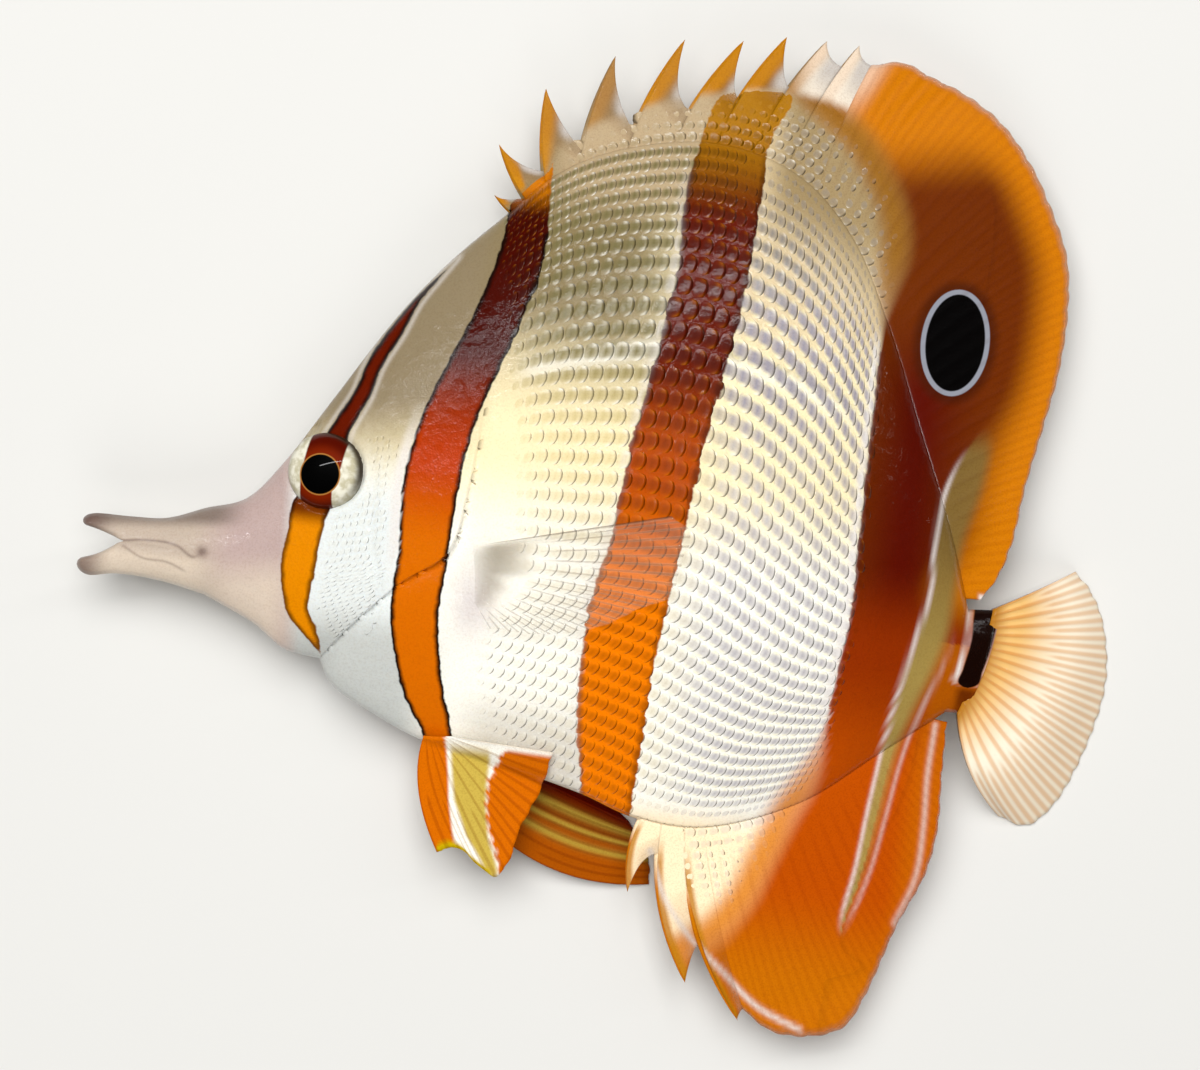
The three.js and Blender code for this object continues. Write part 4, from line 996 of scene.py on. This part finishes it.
def spineTube(centre, radius, count=12):
    # a tube along a line, tapering and closed in a point at its tip
    r = np.linspace(0, 1, len(centre))[:, None]
    chord = centre[-1] - centre[0]
    size = radius * (1 - 0.86 * r**0.8)
    size[-1] = 0.02
    turn = np.linspace(0, 2 * np.pi, count, endpoint=False)[None, :]
    side = np.array([-chord[1], chord[0]]) / np.linalg.norm(chord)
    points = raised(centre[:, None] + side * (size * np.cos(turn))[..., None], size * 1.15 * np.sin(turn))
    values = markings(points[..., 0].ravel(), points[..., 1].ravel())
    share = np.repeat(r, count)
    values["ray"] = np.stack([0 * share + 0.5, share, 0 * share + 0.95], axis=-1)
    return points.reshape(-1, 3), gridQuads(len(r), count, True), values


def webTints(kind, values, points, u, v, gold):
    # past the scaled base the skin of the back fin is pale and half clear, with a golden wedge behind each spine
    if kind == "anal":
        wedge = gold * ramp(0.3, 0.12, u) * ramp(0.1, 0.3, v)
        values["ground"] = layered(values["ground"], ("golden", wedge))
        return
    x = points[:, 0]
    away, share = lineDistance(x, points[:, 1], body["back"])
    limit = np.interp(share, *np.array(finBase[kind]["reach"]).T)
    free = ramp(limit - 0.2, limit + 1.0, away)
    under = layered(
        "horn", ("umber", ramp(0, 4, x) * ramp(14, 9, x)), ("clear", ramp(11, 14, x)),
        ("web", ramp(0.66, 0.95, v) * ramp(0.3, 0.7, u)), ("golden", gold * ramp(0.62, 0.3, u + 0.35 * (1 - v))))
    values["ground"] = layered(values["ground"], (under, free))
    values["marks"] = values["marks"] * np.stack([1 + 0 * v, 1 - free, 1 - free], axis=-1)
    values["marks"][:, 0] -= 6 * ramp(0.3, 0.7, free)


noBands, noSpots = [-5.0, 0, 0], [5.0, -5.0, 0]  # distances that keep the body's markings off a fin


def spinyFin(kind):
    # tubes for the spines, and between two of them a Coons patch of skin that dips behind the front one's tip
    base = finBase[kind]
    root, side = lines[base["line"]], base["side"]
    share = np.linspace(0, 1, fins["spineSteps"])
    u, v = np.linspace(0, 1, 16)[:, None, None], np.linspace(0, 1, 30)[None, :, None]
    read = lambda line, at: np.stack([np.interp(at[..., 0], share, line[:, c]) for c in (0, 1)], axis=-1)
    parts, before = [], None
    for at, tip, width, web, dip, gold, tint in fins[kind]:
        foot = offLine(root, np.array(at), -side * 1.0)
        chord, r = tip - foot, share[:, None]
        bow = side * base["bow"] * (width > 0)
        centre = foot + chord * r + np.array([-chord[1], chord[0]]) * (bow * 4 * r * (1 - r))
        if width:
            points, quads, values = spineTube(centre, 0.42 * width)
            values["ground"] = layered(values["ground"], (tint, ramp(0.2, 0.45, values["ray"][:, 1])))
            values["marks"] = values["marks"] * 0 + noBands
            parts.append((points, quads, values))
        if before:
            lastAt, lastTip, lastDip, lastGold, lastCentre = before
            left, right = read(lastCentre, v), read(centre, v * web)
            foots = offLine(root, lastAt + (at - lastAt) * u[:, 0, 0], -side * 1.0)[:, None]
            edge = (1 - u) ** 2 * lastTip + 2 * u * (1 - u) * lastDip + u**2 * right[:, -1:]
            flat = left * (1 - u) + right * u
            flat = flat + (edge - flat[:, -1:]) * v**2 + (foots - flat[:, :1]) * (1 - v)
            middle, half = finLevel(kind, flat[..., 0], flat[..., 1])
            uu, vv = u[..., 0] + 0 * half, v[..., 0] + 0 * half
            cover = 0.97 - 0.4 * ramp(0.5, 1.0, vv) * ramp(0.15, 0.6, uu)
            part = sheetPart(raised(flat, middle), half, np.stack([0.5 + 0 * half, vv, cover], axis=-1))
            webTints(kind, part[2], part[0], np.tile(uu.ravel(), 2), part[2]["ray"][:, 1], lastGold)
            parts.append(part)
        before = (at, np.array(tip), np.array(dip), gold, centre)
    return parts


def hemCover(place, v):
    # the hem turns clear
    return 1 - 0.55 * ramp(0.955, 1.0, v)


def fullCover(place, v):
    return np.ones(v.shape)


def softFin(kind, start, end, rays, inwards, bow, rows, seed):
    # from a share of the root line to another, rooted 0.6 mm inside the body
    root = lambda u: offLine(lines[finBase[kind]["line"]], start + (end - start) * u, inwards)
    return finSheet(root, smoothLine(pattern[kind]), rays,
                    {"kind": kind, "ridge": 0.02, "bow": bow, "cover": hemCover, "rows": rows, "seed": seed})


softDorsal = softFin("dorsal", 0.44, 0.985, 29, -0.6, -0.03, 48, 3)
rayAt, rayShare, _ = softDorsal[2]["ray"].T
softDorsal[2]["ground"] = layered(softDorsal[2]["ground"],
                                  ("clear", 0.4 * ramp(1.4, 0.1, rayAt) * ramp(0.5, 0.9, rayShare)))
makePiece("dorsal_fin", joined([softDorsal] + spinyFin("dorsal")), finMaterial, "fin_brown",
          "dorsal_spines", "dorsal_soft")
softAnal = softFin("anal", 0.614, 0.975, 20, 0.6, 0.03, 44, 4)
makePiece("anal_fin", joined([softAnal] + spinyFin("anal")), finMaterial, "fin_orange", "anal_spines", "anal_soft")


def tintFin(part, paint):
    # a fin with a ground colour of its own and no body bands
    points, _, values = part
    values["ground"] = paint(values["ray"], points)
    values["marks"] = values["marks"] * 0 + noBands
    values["spots"] = values["spots"] * 0 + noSpots
    return part


def tailGround(ray, p):
    root, middle, margin = fins["tailTints"]
    return layered(root, (middle, ramp(0.0, 0.2, ray[:, 1])),
                   (margin, ramp(0.15, 0.65, ray[:, 1] + 0.02 * (-10 - p[:, 1]))))


tail = finSheet(lambda u: lines["tailEnd"](1 - u) - [0.8, 0], smoothLine(fins["tailMargin"]), 17, {
    "edge": 0.14, "root": 1.0, "ridge": 0.12, "rows": 36, "seed": 6, "height": lambda place, v: -6 * v * v,
    "swing": lambda u: np.array([[-0.9, -0.6]]) * np.maximum(2 * u - 1, 0) ** 2,
    "cover": lambda place, v: 0.97 - 0.25 * ramp(0.6, 1.0, v + 0.02 * (-8 - place[..., 1]))})
makePiece("tail_fin", tintFin(tail, tailGround), tailMaterial, "fin_clear", "caudal_fin")


def torsoHalfAt(place):
    # half thickness under a point of the plane: Newton steps on the torso's chart
    s, t, h = np.full(place.shape[:-1], 0.3), np.full(place.shape[:-1], 0.2), 0.01
    for _ in range(25):
        here = torsoPlan(s, t)
        up, along = (torsoPlan(s + h, t) - here) / h, (torsoPlan(s, t + h) - here) / h
        d = place - here
        turn = up[..., 0] * along[..., 1] - up[..., 1] * along[..., 0]
        s = np.clip(s + 0.7 * (d[..., 0] * along[..., 1] - d[..., 1] * along[..., 0]) / turn, 0.002, 0.98)
        t = np.clip(t + 0.7 * (up[..., 0] * d[..., 1] - up[..., 1] * d[..., 0]) / turn, 0.002, 0.98)
    p = torsoPlan(s, t)
    half = fleshHalf(s, t) - hollowDepth(p[..., 0], p[..., 1]) - np.linalg.norm(p - place, axis=-1)
    return np.maximum(half, 0)


def overFlank(side, lift):
    return lambda place, v: side * (torsoHalfAt(place) + 0.5 + lift * v * v)


def besideBelly(side, away):
    return lambda place, v: side * np.maximum(torsoHalfAt(place) + 0.6, 1.2 + (away - 1.2) * v)


def foldedMargin():
    # the left fin's margin turned about the root and closed like a fan
    hx, hy = fins["pectoralRoot"][1]
    turn, close = fins["pectoralFold"]
    p = np.array(fins["pectoralMargin"]) - (hx, hy)
    reach, angle = np.hypot(*p.T), turn + np.arctan2(p[:, 1], p[:, 0]) * close
    return np.stack([hx + reach * np.cos(angle), hy + reach * np.sin(angle)], axis=1)


def rootCover(u, v):
    # see-through skin on a fleshier root that ends in an uneven line: 0.35 at the root, 0.03 beyond
    reach = 0.24 + 0.05 * np.sin(9.4 * u) + 0.035 * np.sin(23.0 * u + 1)
    side = (1 - 0.75 * u) * ramp(0, 0.08, u)
    return 0.03 + 0.32 * side * ramp(-0.04, 0.12, v) * (1 - ramp(reach - 0.1, reach + 0.06, v))


def clearGround(ray, p):
    # fleshy sand-grey root, clear skin, and a brown line along the leading ray
    root, leading = fins["pectoralTints"]
    return layered(root, ("clear", ramp(0.1, 0.34, ray[:, 1])),
                   (leading, ramp(0.35, 0.1, ray[:, 0]) * ramp(0.1, 0.3, ray[:, 1])))


for word, margin, height in (("left", fins["pectoralMargin"], overFlank(1, 1.3)),
                             ("right", foldedMargin(), overFlank(-1, 0.1))):
    part = finSheet(smoothLine(fins["pectoralRoot"]), smoothLine(margin), 14,
                    {"edge": 0.07, "root": 0.3, "ridge": 0.07, "height": height, "cover": fullCover, "rows": 36})
    tintFin(part, clearGround)
    ray = part[2]["ray"]
    leading = 0.4 * ramp(0.3, 0.05, ray[:, 0]) * ramp(0.02, 0.2, ray[:, 1])
    ray[:, 2] = np.maximum(rootCover(ray[:, 0] / 14, ray[:, 1]), leading)
    ray[:, 2] *= 1 - 0.8 * ramp(0.1, 0, ray[:, 1]) * ramp(3, 0, ray[:, 0])
    makePiece("pectoral_" + word, part, clearMaterial, "fin_clear", "pectoral_fin_" + word)


def leftPelvicGround(ray, p):
    # orange leading strip, white, a yellow stripe in white, and an orange panel behind
    x, y = p[:, 0], p[:, 1]
    lead, middle, wide, panel = (np.interp(y, fins["y"], fins[key]) for key in ("lead", "middle", "wide", "panel"))
    panel = panel + 0.15 * np.sin(5.3 * y) + 0.08 * np.sin(11 * y)
    return layered(
        "orange",
        ("white", ramp(-0.1, 0.25, x - lead)),
        ("yellow", 0.92 * ramp(0.1, -0.4, np.abs(x - middle) - wide) * ramp(-22.8, -24.5, y)),
        ("orange", ramp(-0.15, 0.2, x - panel) * ramp(-23, -23.6, y)),
        ("yellow", ramp(0.93, 0.97, ray[:, 1]) * (x > -12) * (x < -6.8)))


def rightPelvicGround(ray, p):
    # dark red fin seen from its inner side, with olive-yellow stripes along its rays
    front, middle, rear, stripe, corner = fins["innerTints"]
    across = ray[:, 0] / 9
    return layered(
        front, (middle, ramp(0.12, 0.4, across)), (rear, ramp(0.4, 0.5, across)),
        *((stripe, 0.9 * bell(across - line, wide)) for line, wide in ((0.2, 0.028), (0.3, 0.02), (0.4, 0.03))),
        ("darkRed", ramp(0.5, 0.56, across)), (corner, ramp(0.84, 0.95, across) * ramp(0.4, 0.8, ray[:, 1])))


for word, height, bow, paint in (("left", besideBelly(1, 0.6), (-1.2, 0.3), leftPelvicGround),
                                 ("right", besideBelly(-1, 6), (-1.2, -4.2), rightPelvicGround)):
    part = finSheet(smoothLine(fins["pelvicRoot"]), smoothLine(fins[word + "Pelvic"]), 9, {
        "edge": 0.12, "root": 0.42, "ridge": 0.05, "height": height, "rows": 34, "perRay": 9, "cover": fullCover,
        "swing": lambda u: np.array([bow]) * np.maximum(1 - 2 * u, 0)})
    makePiece("pelvic_" + word, tintFin(part, paint), pelvicMaterial, "fin_orange", "pelvic_fin_" + word)


def eyeMaterial():
    # iris of silver guanine under clear cornea: cream and mottled, the head's band running on across it,
    # so that the eye looks deep and wet
    made, tree, place = emptyMaterial("silverIris")
    iris = node(tree, "SeparateXYZ", [node(tree, "Attribute", attribute_name="iris")["Vector"]])
    mottle = node(tree, "TexNoise", {"Vector": place, "Scale": 1300.0, "Detail": 3.0})["Fac"]
    stripe = inked(tree, rgba("#4c0a00"), (iris[0], 3.2, 2.0, 1, "#6e1c02", tinting))
    # mottles, the band, the pupil's golden rim and the pupil
    colour = inked(
        tree, rgba("#b9b296"),
        (mottle, 0.35, 0.65, 1, "#dedac8", tinting),
        (iris[1], -0.05, 0.12, 1, stripe, tinting),
        (iris[0], 2.0, 1.92, 1, "#a06a30", tinting),
        (iris[0], 1.88, 1.8, 1, "#010101", tinting))
    # painted shade of the socket's groove: the rim darkens, most at the upper rear
    colour = node(tree, "Mix", {0: iris[2], 6: colour, 7: rgba("#2c2216")}, **tinting)[2]
    shader = node(tree, "BsdfPrincipled", {
        "Base Color": colour, "Roughness": 0.4, "IOR": 1.34, "Specular IOR Level": 0.1, "Coat Weight": 0.6,
        "Coat Roughness": 0.02, "Coat IOR": 1.34})[0]
    node(tree, "OutputMaterial", [shader])
    return made


irisMaterial = eyeMaterial()


def buildEye(name, side, nodeName):
    # a ball flattened along an axis that leans forwards; rings about the axis carry the distance to the pupil,
    # the distance into the band over the iris and the painted shade of the socket's groove, a dark crescent at the
    # upper rear rim
    rings, count = 44, 72
    phi = np.linspace(0, np.pi, rings)[:, None]
    turn = np.linspace(0, 2 * np.pi, count, endpoint=False)[None, :]
    r = (eye["radius"] - 0.02) * np.sin(phi)
    x, y = r * np.cos(turn), r * np.sin(turn)
    z = eye["depth"] * np.sign(np.cos(phi)) * np.abs(np.cos(phi)) ** 0.8 + 0 * turn
    tilt, towards = eye["tilt"], eye["tiltTowards"]
    axis = np.array([math.cos(towards) * math.sin(tilt), math.sin(towards) * math.sin(tilt), side * math.cos(tilt)])
    right = np.array([1.0, 0, 0]) - axis * axis[0]
    right /= np.linalg.norm(right)
    up = np.cross(axis, right)
    up = up if up[1] > 0 else -up
    points = x[..., None] * right + y[..., None] * up + z[..., None] * axis
    points = points + eye["place"] * np.array([1, 1, side])
    px, py = eye["pupilAt"]
    centre = np.where(y > 0, px + 0.1 * (y - py), px - 0.25)
    band = np.where(y > 0, 1.85, 1.6) - np.abs(x - centre)
    socketShade = ramp(0.8, 0.97, r / eye["radius"]) * (0.25 + 0.75 * ramp(0.1, 0.9, np.cos(turn - 0.6)))
    iris = np.stack([np.hypot(x - px, y - py), band, socketShade], axis=-1).reshape(-1, 3)
    quads = gridQuads(rings, count, True)[:, ::side]
    makePiece(name, weld([(points.reshape(-1, 3), quads, {"iris": iris})]), irisMaterial, "eye", nodeName)


buildEye("eyeball_left", 1, "eye_left")
buildEye("eyeball_right", -1, "eye_right")


# place and target in m, energy in W, width and height in m, whether it mirrors in the wet skin: two big soft
# lights don't, and a small flash and a long tube do
lights = {
    "keySide": ((-0.12, 0.24, 0.8), (0, 0, 0), 9.2, (0.7, 0.7), False),
    "lowSide": ((0.05, -0.5, 0.45), (0, 0, 0), 1.2, (0.4, 0.4), False),
    "flash": ((0.06, 0.03, 0.5), (0, 0, 0), 0.07, (0.06, 0.006), True),
    "tube": ((0.26, 0.315, 0.5), None, 1.2, (1.18, 0.012), True),
}
stage = {"half": 1.2, "tint": "#d4d3cf", "rough": 0.8, "world": 0.5, "tubeTurn": 19}
# straight above the fish, turned so that the fish lies as it was laid
camera = {"place": (-0.00066, -0.00218, 0.300), "turn": 7.5, "lens": 93.4, "sensor": 36.0}


def put(name, data, place):
    made = bpy.data.objects.new(name, data)
    made.location = place
    bpy.context.scene.collection.objects.link(made)
    return made


def buildLights():
    for name, (place, target, energy, size, glossy) in lights.items():
        data = bpy.data.lights.new(name, "AREA")
        data.energy, data.shape, (data.size, data.size_y) = energy, "RECTANGLE", size
        lamp = put(name, data, place)
        lamp.visible_glossy = glossy
        lamp.rotation_mode = "QUATERNION"
        lamp.rotation_quaternion = Quaternion((0, 0, 1), math.radians(stage["tubeTurn"]))
        if target:
            lamp.rotation_quaternion = (Vector(target) - Vector(place)).to_track_quat("-Z", "Y")
    world = bpy.data.worlds.new("studio")
    bpy.context.scene.world = world
    world.use_nodes = True
    world.node_tree.nodes["Background"].inputs[1].default_value = stage["world"]


def buildFloor():
    # a sheet of matt pale board: soft shadows and no glints of its own
    w = stage["half"]
    mesh = bpy.data.meshes.new("floor")
    mesh.from_pydata([(-w, -w, 0), (w, -w, 0), (w, w, 0), (-w, w, 0)], [], [(0, 1, 2, 3)])
    paper = bpy.data.materials.new("whiteBoard")
    paper.use_nodes = True
    shader = paper.node_tree.nodes["Principled BSDF"]
    shader.inputs["Base Color"].default_value = rgba(stage["tint"])
    shader.inputs["Roughness"].default_value = stage["rough"]
    mesh.materials.append(paper)
    put("floor", mesh, (0, 0, 0))


def buildCamera():
    data = bpy.data.cameras.new("view")
    data.sensor_width, data.lens = camera["sensor"], camera["lens"]
    data.clip_start, data.clip_end = 0.01, 10
    made = put("view", data, camera["place"])
    made.rotation_euler = (0, 0, math.radians(camera["turn"]))
    bpy.context.scene.camera = made


buildLights()
buildFloor()
buildCamera()
bpy.context.scene.view_settings.view_transform = "Standard"
print("scene: stage set")

bpy.context.view_layer.update()
